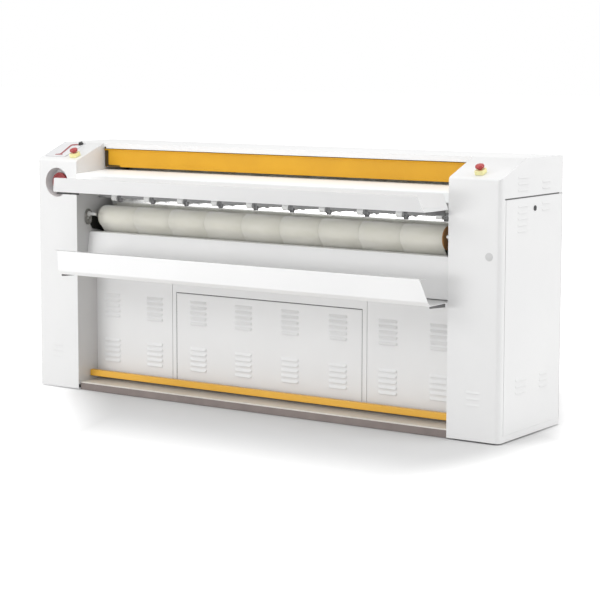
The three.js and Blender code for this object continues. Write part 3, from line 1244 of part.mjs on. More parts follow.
// ---------- hand wheel ----------
function handWheel() {
  const ring = solid(new THREE.TorusGeometry(WHEEL_RADIUS - WHEEL_RIM, WHEEL_RIM, 6, WHEEL_SIDES).rotateX(Math.PI / 2));
  let wheel = ring.add(rodY(0, 0, 13, -10, 12));
  for (let k = 0; k < WHEEL_SPOKES; k += 1) {
    const spoke = block(-4, 4, -3, 3, 0, WHEEL_RADIUS - WHEEL_RIM);
    wheel = wheel.add(spoke.rotate([0, (360 * k) / WHEEL_SPOKES, 0]));
  }
  return wheel.add(rodY(0, 0, WHEEL_SHAFT_RADIUS, 0, WHEEL_SHAFT_LENGTH));
}

place('hand_wheel', handWheel(), redPlastic, [RECESS_X, WHEEL_Y, RECESS_Z]);

// ---------- controls on the slopes ----------
// In this frame y runs up the slope from its front edge, and z is square to it.
const slope = new THREE.Group();
slope.position.set(0, 0, COLUMN_FRONT_HEIGHT);
slope.rotation.x = SLOPE_ANGLE;
machine.add(slope);

function estopBase() {
  const half = ESTOP_BASE_SIZE / 2;
  const housing = extrudeZ(rounded([
    [-half, -half, 7], [half, -half, 7], [half, half, 7], [-half, half, 7],
  ], 3), SEAT_GAP, ESTOP_BASE_HEIGHT);
  return housing.subtract(rodZ(0, 0, holeRadius(ESTOP_STEM_RADIUS), 3, ESTOP_BASE_HEIGHT + 1));
}

function estopButton() {
  const foot = ESTOP_BASE_HEIGHT + ESTOP_TRAVEL + SEAT_GAP;
  return turnedZ([
    [8 + SEAT_GAP, 0], [8 + SEAT_GAP, ESTOP_STEM_RADIUS], [foot, ESTOP_STEM_RADIUS],
    [foot + 3, ESTOP_HEAD_RADIUS - 3], [foot + 8, ESTOP_HEAD_RADIUS], [foot + 14, ESTOP_HEAD_RADIUS - 2],
    [foot + 17, ESTOP_HEAD_RADIUS - 8], [foot + 18, 0],
  ], ROD_SIDES);
}

function controlPanel() {
  const [half, length] = [CONTROL_PANEL_WIDTH / 2, CONTROL_PANEL_LENGTH / 2];
  const plate = extrudeZ(rounded([
    [-half, -length, 8], [half, -length, 8], [half, length, 8], [-half, length, 8],
  ], 3), SEAT_GAP, CONTROL_PANEL_THICKNESS);
  return plate.subtract(rodZ(KNOB_X - CONTROL_PANEL_X, KNOB_ALONG - CONTROL_PANEL_ALONG,
    holeRadius(KNOB_STEM_RADIUS), -1, CONTROL_PANEL_THICKNESS + 1));
}

function selectorKnob() {
  const foot = CONTROL_PANEL_THICKNESS + SEAT_GAP;
  const grip = turnedZ([
    [SEAT_GAP, 0], [SEAT_GAP, KNOB_STEM_RADIUS], [foot, KNOB_STEM_RADIUS], [foot, KNOB_RADIUS],
    [foot + 4, KNOB_RADIUS], [foot + 5, KNOB_RADIUS - 3], [foot + KNOB_HEIGHT, KNOB_RADIUS - 4],
    [foot + KNOB_HEIGHT, 0],
  ], ROD_SIDES);
  return grip.add(block(-2.5, 2.5, -2, KNOB_RADIUS - 1, foot + 3, foot + KNOB_HEIGHT));
}

for (const [name, x] of [['left', ESTOP_LEFT_X], ['right', ESTOP_RIGHT_X]]) {
  place(`estop_base_${name}`, estopBase(), yellowPlastic, [x, ESTOP_ALONG, 0], slope);
  place(`estop_button_${name}`, estopButton(), redPlastic, [x, ESTOP_ALONG, 0], slope);
}
place('control_panel', controlPanel(), panelGrey, [CONTROL_PANEL_X, CONTROL_PANEL_ALONG, 0], slope);
place('selector_knob', selectorKnob(), blackPlastic, [KNOB_X, KNOB_ALONG, 0], slope);

// The origin is under the middle of the whole machine, trays and spigot included.
machine.position.y = -(UPPER_TRAY_LIP_REACH + COLUMN_DEPTH + SPIGOT_PROUD) / 2;

export default ironer;
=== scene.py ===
import json
import math
import random

import bmesh
import bpy
from mathutils import Matrix, Vector


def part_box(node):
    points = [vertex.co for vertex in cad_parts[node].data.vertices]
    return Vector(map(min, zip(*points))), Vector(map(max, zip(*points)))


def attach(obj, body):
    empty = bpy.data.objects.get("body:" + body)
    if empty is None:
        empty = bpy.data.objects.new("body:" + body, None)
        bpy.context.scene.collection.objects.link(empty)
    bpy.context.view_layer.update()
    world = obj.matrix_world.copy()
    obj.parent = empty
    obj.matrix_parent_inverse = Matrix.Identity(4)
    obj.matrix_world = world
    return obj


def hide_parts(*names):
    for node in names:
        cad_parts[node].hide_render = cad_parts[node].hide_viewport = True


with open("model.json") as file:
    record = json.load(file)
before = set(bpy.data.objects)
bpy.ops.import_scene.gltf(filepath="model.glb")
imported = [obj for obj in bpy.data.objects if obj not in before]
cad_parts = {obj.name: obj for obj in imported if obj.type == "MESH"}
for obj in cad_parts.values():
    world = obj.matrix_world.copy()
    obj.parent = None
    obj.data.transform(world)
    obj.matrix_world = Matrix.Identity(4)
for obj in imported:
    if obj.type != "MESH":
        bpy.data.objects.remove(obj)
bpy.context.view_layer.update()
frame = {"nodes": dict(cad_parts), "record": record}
NODES = frame["nodes"]
BODY = {n: b for b, names in frame["record"]["behaviour"]["bodies"].items() for n in names}
SLOT = {p["node"]: p["material_slot"] for p in frame["record"]["subparts"]}
RNG = random.Random(7)
MM = 0.001
# sizes and places below are in millimetres of the frame, with X to the right and Z up
FRONT_Y = -195             # the columns' front face
SIDE_X = 1300              # the columns' outer faces
INNER_X = 1044             # the columns' inner faces
X, Y, Z = (1, 0, 0), (0, 1, 0), (0, 0, 1)
FORWARD = (0, -1, 0)


# ---------- materials ----------
def noise(tree, place, scale, detail):
    """A noise over a place."""
    node = tree.nodes.new("ShaderNodeTexNoise")
    node.inputs["Scale"].default_value = scale
    node.inputs["Detail"].default_value = detail
    tree.links.new(place, node.inputs["Vector"])
    return node.outputs["Fac"]


def relief(tree, height, strength, depth_mm):
    """A bump that follows a height."""
    node = tree.nodes.new("ShaderNodeBump")
    node.inputs["Strength"].default_value = strength
    node.inputs["Distance"].default_value = depth_mm * MM
    tree.links.new(height, node.inputs["Height"])
    return node


def material(name, low, high, rough, metallic=0.0, scale=6.0, bump=0.02, grain=900.0, spread=0.05,
             stretch=(1, 1, 1), coat=0.0, sheen=0.0, aniso=0.0, bump_mm=0.2, gloss_level=0.5):
    """A surface whose colour and gloss drift between two values, with a fine grain in its relief."""
    m = bpy.data.materials.new(name)
    m.use_nodes = True
    tree = m.node_tree
    paint = tree.nodes["Principled BSDF"]
    place = tree.nodes.new("ShaderNodeMapping")
    place.inputs["Scale"].default_value = stretch
    tree.links.new(tree.nodes.new("ShaderNodeTexCoord").outputs["Object"], place.inputs["Vector"])
    drift = noise(tree, place.outputs["Vector"], scale, 5)
    ramp = tree.nodes.new("ShaderNodeValToRGB")
    for stop, position, colour in zip(ramp.color_ramp.elements, (0.35, 0.65), (low, high)):
        stop.position = position
        stop.color = (*colour, 1)
    tree.links.new(drift, ramp.inputs["Fac"])
    tree.links.new(ramp.outputs["Color"], paint.inputs["Base Color"])
    gloss = tree.nodes.new("ShaderNodeMapRange")
    gloss.inputs["To Min"].default_value = max(0.02, rough - spread)
    gloss.inputs["To Max"].default_value = min(1.0, rough + spread)
    tree.links.new(drift, gloss.inputs["Value"])
    tree.links.new(gloss.outputs["Result"], paint.inputs["Roughness"])
    fine = relief(tree, noise(tree, place.outputs["Vector"], grain, 2), bump, bump_mm)
    tree.links.new(fine.outputs["Normal"], paint.inputs["Normal"])
    paint.inputs["Metallic"].default_value = metallic
    paint.inputs["Coat Weight"].default_value = coat
    paint.inputs["Sheen Weight"].default_value = sheen
    paint.inputs["Specular IOR Level"].default_value = gloss_level
    paint.inputs["Anisotropic"].default_value = aniso
    return m


def powder_coat(name, low, high, rough, scale=2.0, bump=0.05, gloss_level=0.5):
    """Baked powder paint: even, with a fine orange peel."""
    return material(name, low, high, rough, scale=scale, bump=bump, grain=700, gloss_level=gloss_level)


def weave(m, threads=420.0, strength=0.5, depth_mm=0.3):
    """Adds the threads of a woven felt to a material: waves across and along."""
    tree = m.node_tree
    place = next(n for n in tree.nodes if n.bl_idname == "ShaderNodeTexCoord")
    both = tree.nodes.new("ShaderNodeMath")
    both.operation = "MULTIPLY"
    for axis, socket in zip("XZ", both.inputs):
        wave = tree.nodes.new("ShaderNodeTexWave")
        wave.bands_direction = axis
        wave.inputs["Scale"].default_value = threads
        wave.inputs["Distortion"].default_value = 0.6
        tree.links.new(place.outputs["Object"], wave.inputs["Vector"])
        tree.links.new(wave.outputs["Fac"], socket)
    threaded = relief(tree, both.outputs["Value"], strength, depth_mm)
    normal = tree.nodes["Principled BSDF"].inputs["Normal"]
    tree.links.new(normal.links[0].from_socket, threaded.inputs["Normal"])
    tree.links.new(threaded.outputs["Normal"], normal)
    return m


# the finishes of the record's material slots
MAT = {
    "white_paint": powder_coat("white_powder_coat", (0.755, 0.755, 0.755), (0.785, 0.785, 0.783), 0.38),
    "orange_paint": powder_coat("orange_powder_coat", (0.64, 0.325, 0.012), (0.70, 0.365, 0.016), 0.48,
                                scale=3.0, bump=0.06, gloss_level=0.25),
    "base_grey": material("warm_grey_coat", (0.65, 0.62, 0.565), (0.71, 0.68, 0.625), 0.4, scale=3.0),
    "black_plastic": material("black_plastic", (0.010, 0.010, 0.011), (0.018, 0.018, 0.019), 0.32, scale=30),
    "foot_rubber": material("foot_rubber", (0.020, 0.020, 0.020), (0.032, 0.032, 0.032), 0.8, scale=40,
                            bump=0.3),
    "cast_grey": material("painted_casting", (0.10, 0.105, 0.115), (0.15, 0.155, 0.165), 0.5, scale=14,
                          bump=0.35, grain=500, bump_mm=0.4),
    "polished_steel": material("polished_cylinder", (0.95, 0.95, 0.95), (0.98, 0.98, 0.975), 0.22, 0.9,
                               scale=5, stretch=(0.15, 1, 1), aniso=0.3, bump=0.02, grain=500),
    "roller_steel": material("turned_steel", (0.42, 0.43, 0.44), (0.55, 0.56, 0.57), 0.32, 1.0, scale=20,
                             stretch=(8, 1, 1), aniso=0.5, bump=0.06),
    "zinc_steel": material("zinc_plate", (0.40, 0.41, 0.42), (0.56, 0.56, 0.55), 0.38, 1.0, scale=26,
                           bump=0.06),
    # the belts' felt is given a lighter colour than its own, which paints light on the shaded rollers
    "belt_felt": weave(material("belt_felt", (0.93, 0.91, 0.80), (0.975, 0.955, 0.86), 0.85, scale=9.0,
                                bump=0.5, grain=1400, stretch=(1, 3, 3), sheen=0.9, bump_mm=0.4)),
    # the fingers' white is lighter than their plastic, which paints light against the upper tray's shade
    "finger_white": material("finger_plastic", (0.96, 0.96, 0.955), (0.98, 0.98, 0.975), 0.25, scale=20),
    "panel_grey": material("panel_coat", (0.66, 0.66, 0.67), (0.72, 0.72, 0.73), 0.36, scale=8),
    "red_plastic": material("red_plastic", (0.34, 0.020, 0.022), (0.42, 0.030, 0.030), 0.3, scale=18,
                            coat=0.2),
    "yellow_plastic": material("yellow_plastic", (0.82, 0.77, 0.36), (0.87, 0.82, 0.44), 0.4, scale=18),
}
# finishes of single pieces
# a lighter copy of the white paint for the upper tray and the apron: painted light
TRAY_WHITE_LIT = powder_coat("tray_powder_coat_painted_light", (0.85, 0.85, 0.85), (0.88, 0.88, 0.878), 0.34)
# a lighter copy of the white paint for the lower tray: painted light
LIP_WHITE_LIT = powder_coat("lip_powder_coat_painted_light", (0.94, 0.94, 0.94), (0.97, 0.97, 0.968), 0.34)
# a darker copy of the white paint for the side plates: painted shade
PLATE_WHITE_SHADED = powder_coat("plate_powder_coat_painted_shade", (0.655, 0.65, 0.645), (0.695, 0.69, 0.685), 0.3)
# a lighter, slightly cool copy of the white paint for the feed table: painted light, the tint offsetting the
# orange guard's bounce
TABLE_WHITE_LIT = powder_coat("table_coat_painted_light", (0.91, 0.925, 0.925), (0.94, 0.955, 0.955), 0.5, bump=0.04)
LEVER_GREY = material("lever_steel", (0.16, 0.16, 0.165), (0.26, 0.26, 0.265), 0.4, 0.7, scale=60)
BAR_GREY = material("stripper_bar_coat", (0.34, 0.34, 0.345), (0.40, 0.40, 0.405), 0.5, scale=20,
                    stretch=(0.3, 1, 1), gloss_level=0.3)
END_BROWN = material("roller_end_board", (0.42, 0.20, 0.075), (0.54, 0.28, 0.11), 0.6, scale=30, bump=0.2,
                     gloss_level=0.3)
END_CREAM = material("roller_end_cream", (0.66, 0.63, 0.54), (0.74, 0.71, 0.62), 0.7, scale=20, bump=0.2)
# black for the shaft guards, which also paints the shade beside the front roller's ends
GUARD_SHADE_BLACK = material("shaft_guard_rubber_and_shade", (0.012, 0.012, 0.010), (0.022, 0.021, 0.018), 0.7, scale=30,
                      bump=0.3, gloss_level=0.2)
DARK_RED = material("panel_red", (0.26, 0.016, 0.020), (0.32, 0.022, 0.026), 0.35, scale=14)
ARM_GREY = material("guide_arm_coat", (0.20, 0.195, 0.18), (0.34, 0.33, 0.31), 0.6, scale=60, bump=0.3)
PIN_STEEL = material("guide_pin_steel", (0.72, 0.72, 0.71), (0.80, 0.80, 0.79), 0.35, 0.5, scale=40)
LIGHT_GREY = material("cap_grey", (0.58, 0.58, 0.58), (0.63, 0.63, 0.63), 0.5, scale=14)
WHEEL_RED = material("hand_wheel_red", (0.22, 0.016, 0.018), (0.28, 0.022, 0.024), 0.4, scale=18)
STRIP_BLACK = material("guard_rubber", (0.060, 0.040, 0.016), (0.085, 0.058, 0.024), 0.7, scale=30, bump=0.3,
                       gloss_level=0.2)
# dark grey for the access door's seal, which also paints the shade of the door's gap
DOOR_GAP_SHADE = material("door_rubber_and_gap_shade", (0.14, 0.14, 0.14), (0.19, 0.19, 0.19), 0.7, scale=40, bump=0.3)
# dark grey for the strips in the side seams: painted shade of the seams
SEAM_SHADE_GREY = material("seam_painted_shade", (0.075, 0.075, 0.075), (0.11, 0.11, 0.11), 0.7, scale=40, bump=0.3)
# darker copies of the trays' white paint for their floors: painted shade in the trays' hollows
UPPER_FLOOR_SHADE = powder_coat("upper_tray_floor_painted_shade", (0.66, 0.66, 0.66), (0.70, 0.70, 0.698), 0.42, scale=3.0)
LOWER_FLOOR_SHADE = powder_coat("lower_tray_floor_painted_shade", (0.62, 0.62, 0.62), (0.66, 0.66, 0.658), 0.42, scale=3.0)
# a lighter copy of the orange paint for the foot bar: painted light
BAR_ORANGE_LIT = powder_coat("bar_powder_coat_painted_light", (0.74, 0.40, 0.045), (0.80, 0.44, 0.055), 0.36, scale=3.0,
                         bump=0.06, gloss_level=0.35)
# near black for the gussets under the trays' ends, which paints the shade there as well
GUSSET_SHADE = material("gusset_steel_and_shade", (0.12, 0.12, 0.122), (0.17, 0.17, 0.172), 0.5, scale=20, gloss_level=0.3)
# dark brown-grey for the skirting, which paints the shade along the base's front
SKIRT_SHADE = material("skirting_painted_shade", (0.215, 0.18, 0.17), (0.26, 0.22, 0.205), 0.6, scale=8, gloss_level=0.3)


# ---------- mesh helpers ----------
def added(name, data):
    """A new object in the scene."""
    obj = bpy.data.objects.new(name, data)
    bpy.context.scene.collection.objects.link(obj)
    return obj


def shaded(data, mat, smooth):
    """Shades the mesh smooth up to the angle, and gives it its material."""
    data.shade_smooth()
    data.set_sharp_from_angle(angle=math.radians(smooth))
    data.materials.append(mat)


def mesh_object(name, verts, faces, mat, smooth=35):
    """An object from corners in metres and faces."""
    data = bpy.data.meshes.new(name)
    data.from_pydata([tuple(v) for v in verts], [], [tuple(f) for f in faces])
    obj = added(name, data)
    bm = bmesh.new()
    bm.from_mesh(data)
    bmesh.ops.remove_doubles(bm, verts=bm.verts, dist=1e-6)
    bmesh.ops.recalc_face_normals(bm, faces=bm.faces)
    bm.to_mesh(data)
    bm.free()
    shaded(data, mat, smooth)
    return obj


def soften(obj, width_mm, segments=2, angle=40):
    """Rounds the edges that are sharper than the angle."""
    b = obj.modifiers.new("edges", "BEVEL")
    b.width = width_mm * MM
    b.segments = segments
    b.limit_method = "ANGLE"
    b.angle_limit = math.radians(angle)
    b.harden_normals = True


def own(obj, body, slot, *nodes):
    """The piece moves with the body and stands for the nodes, which it hides; the slot is not used."""
    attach(obj, body)
    if nodes:
        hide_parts(*nodes)
    return obj


FACING_UP, FLOOR_AREA = 0.9, 0.02          # a tray's floor: how level, and its least area in square metres
FLAT_DEGREES = 0.6                         # facets closer than this to one plane become one face


def dressed(node, mat=None, edge_mm=0.0, smooth=24, reshape=None, floor_shade=None):
    """The CAD node again, with shared corners, shaded edges and a finish, and on its floor a darker copy that
    paints shade.
    """
    source = NODES[node].data
    bm = bmesh.new()
    for v in source.vertices:
        bm.verts.new(v.co)
    bm.verts.ensure_lookup_table()
    for f in source.polygons:
        if len(set(f.vertices)) == len(f.vertices):
            bm.faces.new([bm.verts[i] for i in f.vertices])
    bmesh.ops.remove_doubles(bm, verts=bm.verts, dist=2e-6)
    if reshape:
        for v in bm.verts:
            v.co = Vector(reshape(*(v.co / MM))) * MM
    bmesh.ops.dissolve_limit(bm, angle_limit=math.radians(FLAT_DEGREES), verts=bm.verts, edges=bm.edges)
    data = bpy.data.meshes.new(node + "_skin")
    bm.to_mesh(data)
    bm.free()
    obj = added(node + "_skin", data)
    shaded(data, mat or MAT[SLOT[node]], smooth)
    # the level floor faces get the darker copy: painted shade
    if floor_shade:
        data.materials.append(floor_shade)
        for face in data.polygons:
            if face.normal.z > FACING_UP and face.area > FLOOR_AREA:
                face.material_index = 1
    if edge_mm:
        soften(obj, edge_mm)
    even = obj.modifiers.new("normals", "WEIGHTED_NORMAL")
    even.keep_sharp = True
    even.weight = 100
    own(obj, BODY[node], SLOT[node], node)


def spokes(axis, count):
    """Directions of length one, evenly round the axis."""
    side = axis.orthogonal().normalized()
    up = axis.cross(side)
    angles = [2 * math.pi * k / count for k in range(count)]
    return [side * math.cos(a) + up * math.sin(a) for a in angles]


def lathe(name, profile, origin, axis, mat, sides=48, smooth=35):
    """A profile of (distance along the axis, radius) in millimetres, turned about the axis."""
    axis = Vector(axis).normalized()
    origin = Vector(origin) * MM
    around = spokes(axis, sides)
    verts = [origin + (axis * along + out * radius) * MM for along, radius in profile for out in around]
    faces = []
    for i in range(len(profile) - 1):
        for k in range(sides):
            n = (k + 1) % sides
            faces.append((i * sides + k, i * sides + n, (i + 1) * sides + n, (i + 1) * sides + k))
    for i in (0, len(profile) - 1):
        if profile[i][1] > 0:
            faces.append([i * sides + k for k in range(sides)])
    return mesh_object(name, verts, faces, mat, smooth)


def prism(name, outline, origin, u, v, w, depth, mat, edge_mm=0.0):
    """An outline of (u, v) points in millimetres, given depth along w."""
    u, v, w = Vector(u), Vector(v), Vector(w)
    origin = Vector(origin)
    base = [(origin + u * a + v * b) * MM for a, b in outline]
    verts = base + [p + w * depth * MM for p in base]
    n = len(outline)
    faces = [list(range(n)), list(range(n, 2 * n))]
    faces += [(k, (k + 1) % n, n + (k + 1) % n, n + k) for k in range(n)]
    obj = mesh_object(name, verts, faces, mat)
    if edge_mm:
        soften(obj, edge_mm, 3)
    return obj


QUARTERS = ((1, 1), (-1, 1), (-1, -1), (1, -1))


def rounded_rect(w, h, r, steps=5):
    """The outline of a rectangle about the origin, with its corners rounded."""
    points = []
    for quarter, (sx, sy) in enumerate(QUARTERS):
        for k in range(steps + 1):
            a = math.radians(90 * quarter + 90 * k / steps)
            points.append((sx * (w / 2 - r) + r * math.cos(a), sy * (h / 2 - r) + r * math.sin(a)))
    return points


def ring_faces(n, m):
    """The faces of a closed tube of n rings with m points each."""
    return [(i * m + k, i * m + (k + 1) % m, ((i + 1) % n) * m + (k + 1) % m, ((i + 1) % n) * m + k)
            for i in range(n) for k in range(m)]


def joined(name, objects):
    """One object from several, modifiers applied."""
    dg = bpy.context.evaluated_depsgraph_get()
    bm = bmesh.new()
    mats = []
    for o in objects:
        data = bpy.data.meshes.new_from_object(o.evaluated_get(dg), depsgraph=dg)
        start = len(bm.faces)
        bm.from_mesh(data)
        bm.faces.ensure_lookup_table()
        mat = o.data.materials[0]
        if mat not in mats:
            mats.append(mat)
        for f in bm.faces[start:]:
            f.material_index = mats.index(mat)
        bpy.data.meshes.remove(data)
    data = bpy.data.meshes.new(name)
    bm.to_mesh(data)
    bm.free()
    for m in mats:
        data.materials.append(m)
    for o in objects:
        bpy.data.objects.remove(o)
    return added(name, data)


# ---------- carried-over pieces ----------
BELT_COUNT = 9
# these are made anew further down, and every other node is carried over
REMADE = {"heated_cylinder", "front_roller", "top_roller", "rear_roller", "tension_roller", "stripper_bar",
          "hand_wheel", "estop_base_left", "estop_base_right", "estop_button_left", "estop_button_right",
          "selector_knob"}
REMADE |= {f"belt_{k + 1}" for k in range(BELT_COUNT)}
# the trays', apron's, table's and foot bar's finishes are lighter copies of their paints, which paint light;
# the side plates' is a darker copy, which paints shade
FINISH = {"upper_tray": TRAY_WHITE_LIT, "lower_tray": LIP_WHITE_LIT, "feed_table": TABLE_WHITE_LIT, "apron": TRAY_WHITE_LIT,
          "left_side_plate": PLATE_WHITE_SHADED, "right_side_plate": PLATE_WHITE_SHADED, "foot_bar": BAR_ORANGE_LIT}
# the trays' floors get darker copies of their paint, which paint the shade in the trays' hollows
TRAY_FLOOR_SHADE = {"upper_tray": UPPER_FLOOR_SHADE, "lower_tray": LOWER_FLOOR_SHADE}
FOOT_BAR_EDGE = 4.0

# places that tell the louvres' and the lips' corners from the rest of a sheet
PANEL_LOUVRE_XS = [-943 + 266.5 * k for k in range(8)]
PANEL_LOUVRE_Y = -54
SIDE_LOUVRE_YS = (-5, 207)
FRONT_LOUVRE_XS, FRONT_LOUVRE_TOP = (-1172, 1172), 300
NARROW, NARROWER = 0.84, 0.8               # a louvre's lip against its opening
SIDE_PROUD, FRONT_PROUD = (2.4, 4.2), (1.6, 2.6)


def narrowed(value, centres, share):
    """Draws a louvre's lip in towards its own middle, so that its ends slant."""
    middle = min(centres, key=lambda c: abs(value - c))
    return middle + (value - middle) * share


def panel_louvres(x, y, z):
    """The lower panels' and the access door's louvres get slanted ends."""
    return (narrowed(x, PANEL_LOUVRE_XS, NARROW) if y < PANEL_LOUVRE_Y else x, y, z)


def column_louvres(x, y, z):
    """The columns' louvres get slanted ends too, and stand less proud."""
    sideways, forwards = abs(x) - SIDE_X, FRONT_Y - y
    if sideways > 0.2:
        proud = SIDE_PROUD[sideways > 3]
        return (math.copysign(SIDE_X + proud, x), narrowed(y, SIDE_LOUVRE_YS, NARROW), z)
    if forwards > 0.2 and z < FRONT_LOUVRE_TOP:
        proud = FRONT_PROUD[forwards > 3]
        return (narrowed(x, FRONT_LOUVRE_XS, NARROWER), FRONT_Y - proud, z)
    return (x, y, z)


UPPER_LIP_FOOT, UPPER_LIP_TOP = 997, 1060
FLOOR_SPREAD, LIP_SHIFT = 12, 18
LOWER_FOLD_BACK, LOWER_LIP_BACK, LOWER_LIP_DOWN = 20, 7, 6


def upper_ends(x, y, z):
    """The floor widens to the columns at its back, and the lip's upper corners sit a little to the right."""
    if y > FRONT_Y - 5:
        return (math.copysign(abs(x) + FLOOR_SPREAD, x) if abs(x) > 1000 else x, y, z)
    up_the_lip = max(0, min(1, (z - UPPER_LIP_FOOT) / (UPPER_LIP_TOP - UPPER_LIP_FOOT)))
    return (x + LIP_SHIFT * up_the_lip if abs(x) > 980 else x, y, z)


def lower_lip(x, y, z):
    """The fold under the lip leans back, and the lip's top edge is a little lower and further back."""
    if y < -330 and z < 600:
        return (x, y + LOWER_FOLD_BACK, z)
    if z > 700:
        return (x, y + LOWER_LIP_BACK, z - LOWER_LIP_DOWN)
    return (x, y, z)


RESHAPE = {"lower_panel_left": panel_louvres, "lower_panel_right": panel_louvres,
           "access_door": panel_louvres, "left_column_casing": column_louvres,
           "right_column_casing": column_louvres, "left_side_door": column_louvres,
           "right_side_door": column_louvres, "upper_tray": upper_ends, "lower_tray": lower_lip}
for node in sorted(NODES):
    if node not in REMADE:
        dressed(node, FINISH.get(node), FOOT_BAR_EDGE if node == "foot_bar" else 0.0,
                reshape=RESHAPE.get(node), floor_shade=TRAY_FLOOR_SHADE.get(node))


# ---------- heated cylinder and rollers ----------
def span(node):
    """The node's lowest and highest corners at rest, in millimetres."""
    lo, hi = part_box(node)
    return lo * 1000, hi * 1000


def axis_of(node):
    """The middle of the node, which is on its axis."""
    lo, hi = span(node)
    return (lo + hi) / 2


def drum(node, radius, left, right, shaft, mat, r, name):
    """A drum with its journals out to the node's ends, its rims rounded by r."""
    lo, hi = span(node)
    c = (lo + hi) / 2
    arc = [(r * (1 - math.cos(a)), r * (1 - math.sin(a))) for a in (math.pi / 8 * k for k in range(1, 5))]
    profile = [(lo.x, 0), (lo.x, shaft), (left, shaft), (left, radius - r)]
    profile += [(left + along, radius - down) for along, down in arc]
    profile += [(right - along, radius - down) for along, down in reversed(arc)]
    profile += [(right, radius - r), (right, shaft), (hi.x, shaft), (hi.x, 0)]
    own(lathe(name, profile, (0, *c.yz), X, mat, 96), BODY[node], SLOT[node], node)


CYLINDER_LEFT, CYLINDER_RIGHT = -1006, 944
CYLINDER_RADIUS, CYLINDER_SHAFT = 150, 30
drum("heated_cylinder", CYLINDER_RADIUS, CYLINDER_LEFT, CYLINDER_RIGHT, CYLINDER_SHAFT,
     MAT["polished_steel"], 3, "cylinder_shell")
ROLLER_LEFT, ROLLER_RIGHT, ROLLER_SHAFT = CYLINDER_LEFT - 5, CYLINDER_RIGHT + 3, 14
ROLLERS = {"front_roller": 51, "top_roller": 32, "rear_roller": 32, "tension_roller": 32}
for node, radius in ROLLERS.items():
    drum(node, radius, ROLLER_LEFT, ROLLER_RIGHT, ROLLER_SHAFT, MAT["roller_steel"], 2, node + "_shell")

# a board closes each end of the front roller and covers the belts' edges
FRONT_AXIS = axis_of("front_roller")
RIM = ROLLERS["front_roller"]
END_PROFILE = [(-4.4, RIM + 0.2), (-4.4, RIM + 2.5), (0, RIM + 2.5), (1.6, RIM + 1), (1.6, 16), (0, 16),
               (0, RIM - 2)]
for side, x, outward, mat in (("left", ROLLER_LEFT, -1, END_CREAM), ("right", ROLLER_RIGHT, 1, END_BROWN)):
    end = lathe(f"front_roller_end_{side}", END_PROFILE, (x, *FRONT_AXIS.yz), (outward, 0, 0), mat, 64)
    own(end, "front_roller", "roller_steel")


# ---------- shaft guards and guide pins on the side plates ----------
def bolt(name, at, axis, radius, height, mat):
    """A hexagon head on a washer."""
    washer = [(0, 0), (0, radius * 1.5), (1.4, radius * 1.5), (1.4, 0)]
    head = [(1.4, 0), (1.4, radius), (height - 0.6, radius), (height, radius * 0.88), (height, 0)]
    return joined(name, [lathe(name + "_washer", washer, at, axis, mat, 24),
                         lathe(name + "_head", head, at, axis, mat, 6, 20)])


GUARD_OUTLINE = [(-84, 0), (-70, 6), (-40, 2), (0, -10), (30, -40), (34, -72), (20, -74), (-60, -58),
                 (-80, -30)]
ARM_SIZE, ARM_CORNER, ARM_THICKNESS = (48, 78), 23, 8
ARM_AHEAD = 92                             # from the front roller's axis to the arm's middle
PIN_PROFILE = [(0, 0), (0, 13), (6, 13), (7, 8), (44, 8), (45, 7), (45, 0)]
for side, sign in (("left", -1), ("right", 1)):
    inward = (-sign, 0, 0)
    face = sign * INNER_X
    # the black guard is partly a real guard and partly painted shade beside the roller's end
    plate = prism(f"shaft_guard_{side}", GUARD_OUTLINE, (face, *FRONT_AXIS.yz), Y, Z, inward, 5,
                  GUARD_SHADE_BLACK, 1.5)
    own(plate, "machine", "black_plastic")
    arm = prism(f"guide_arm_{side}", rounded_rect(*ARM_SIZE, ARM_CORNER),
                (face, FRONT_AXIS.y - ARM_AHEAD, FRONT_AXIS.z + 2), Y, Z, inward, ARM_THICKNESS, ARM_GREY, 3)
    own(arm, "machine", "cast_grey")
    at = Vector((face - sign * (ARM_THICKNESS - 1), FRONT_AXIS.y - ARM_AHEAD, FRONT_AXIS.z + 16))
    own(lathe(f"guide_pin_{side}", PIN_PROFILE, at, inward, PIN_STEEL, 28), "machine", "zinc_steel")
    for k, (dy, dz) in enumerate(((8, -34), (-8, -20))):
        screw = bolt(f"guide_bolt_{side}_{k}", at + Vector((0, dy, dz)), inward, 4, 5, MAT["zinc_steel"])
        own(screw, "machine", "zinc_steel")


# ---------- belts ----------
BELT_THICKNESS, BELT_GAP = 3.5, 1.0
BELT_SEAT = 0.3                            # from a roller's surface to the belt
LINE_OFFSET = BELT_SEAT + BELT_THICKNESS / 2


def loop_line(wheels, step):
    """The closed line round wheels of (y, z, radius, way), by tangents and arcs."""
    runs = []
    for (ya, za, ra, way_a), (yb, zb, rb, way_b) in zip(wheels, wheels[1:] + wheels[:1]):
        dy, dz = yb - ya, zb - za
        lean = (way_a * ra - way_b * rb) / math.hypot(dy, dz)
        runs.append(math.atan2(dz, dy) + math.asin(max(-1, min(1, lean))))
    points = []
    for i, (y, z, r, way) in enumerate(wheels):
        arrive = runs[i - 1] - way * math.pi / 2
        sweep = way * (runs[i] - runs[i - 1]) % (2 * math.pi)
        steps = max(2, math.ceil(sweep / step))
        for k in range(steps + 1):
            a = arrive + way * sweep * k / steps
            points.append((y + r * math.cos(a), z + r * math.sin(a)))
    return points


def wheel(node, way):
    """A drum that the belts pass: on their inside with way 1, on their outside with way -1."""
    c = axis_of(node)
    return (c.y, c.z, ROLLERS.get(node, CYLINDER_RADIUS) + LINE_OFFSET, way)


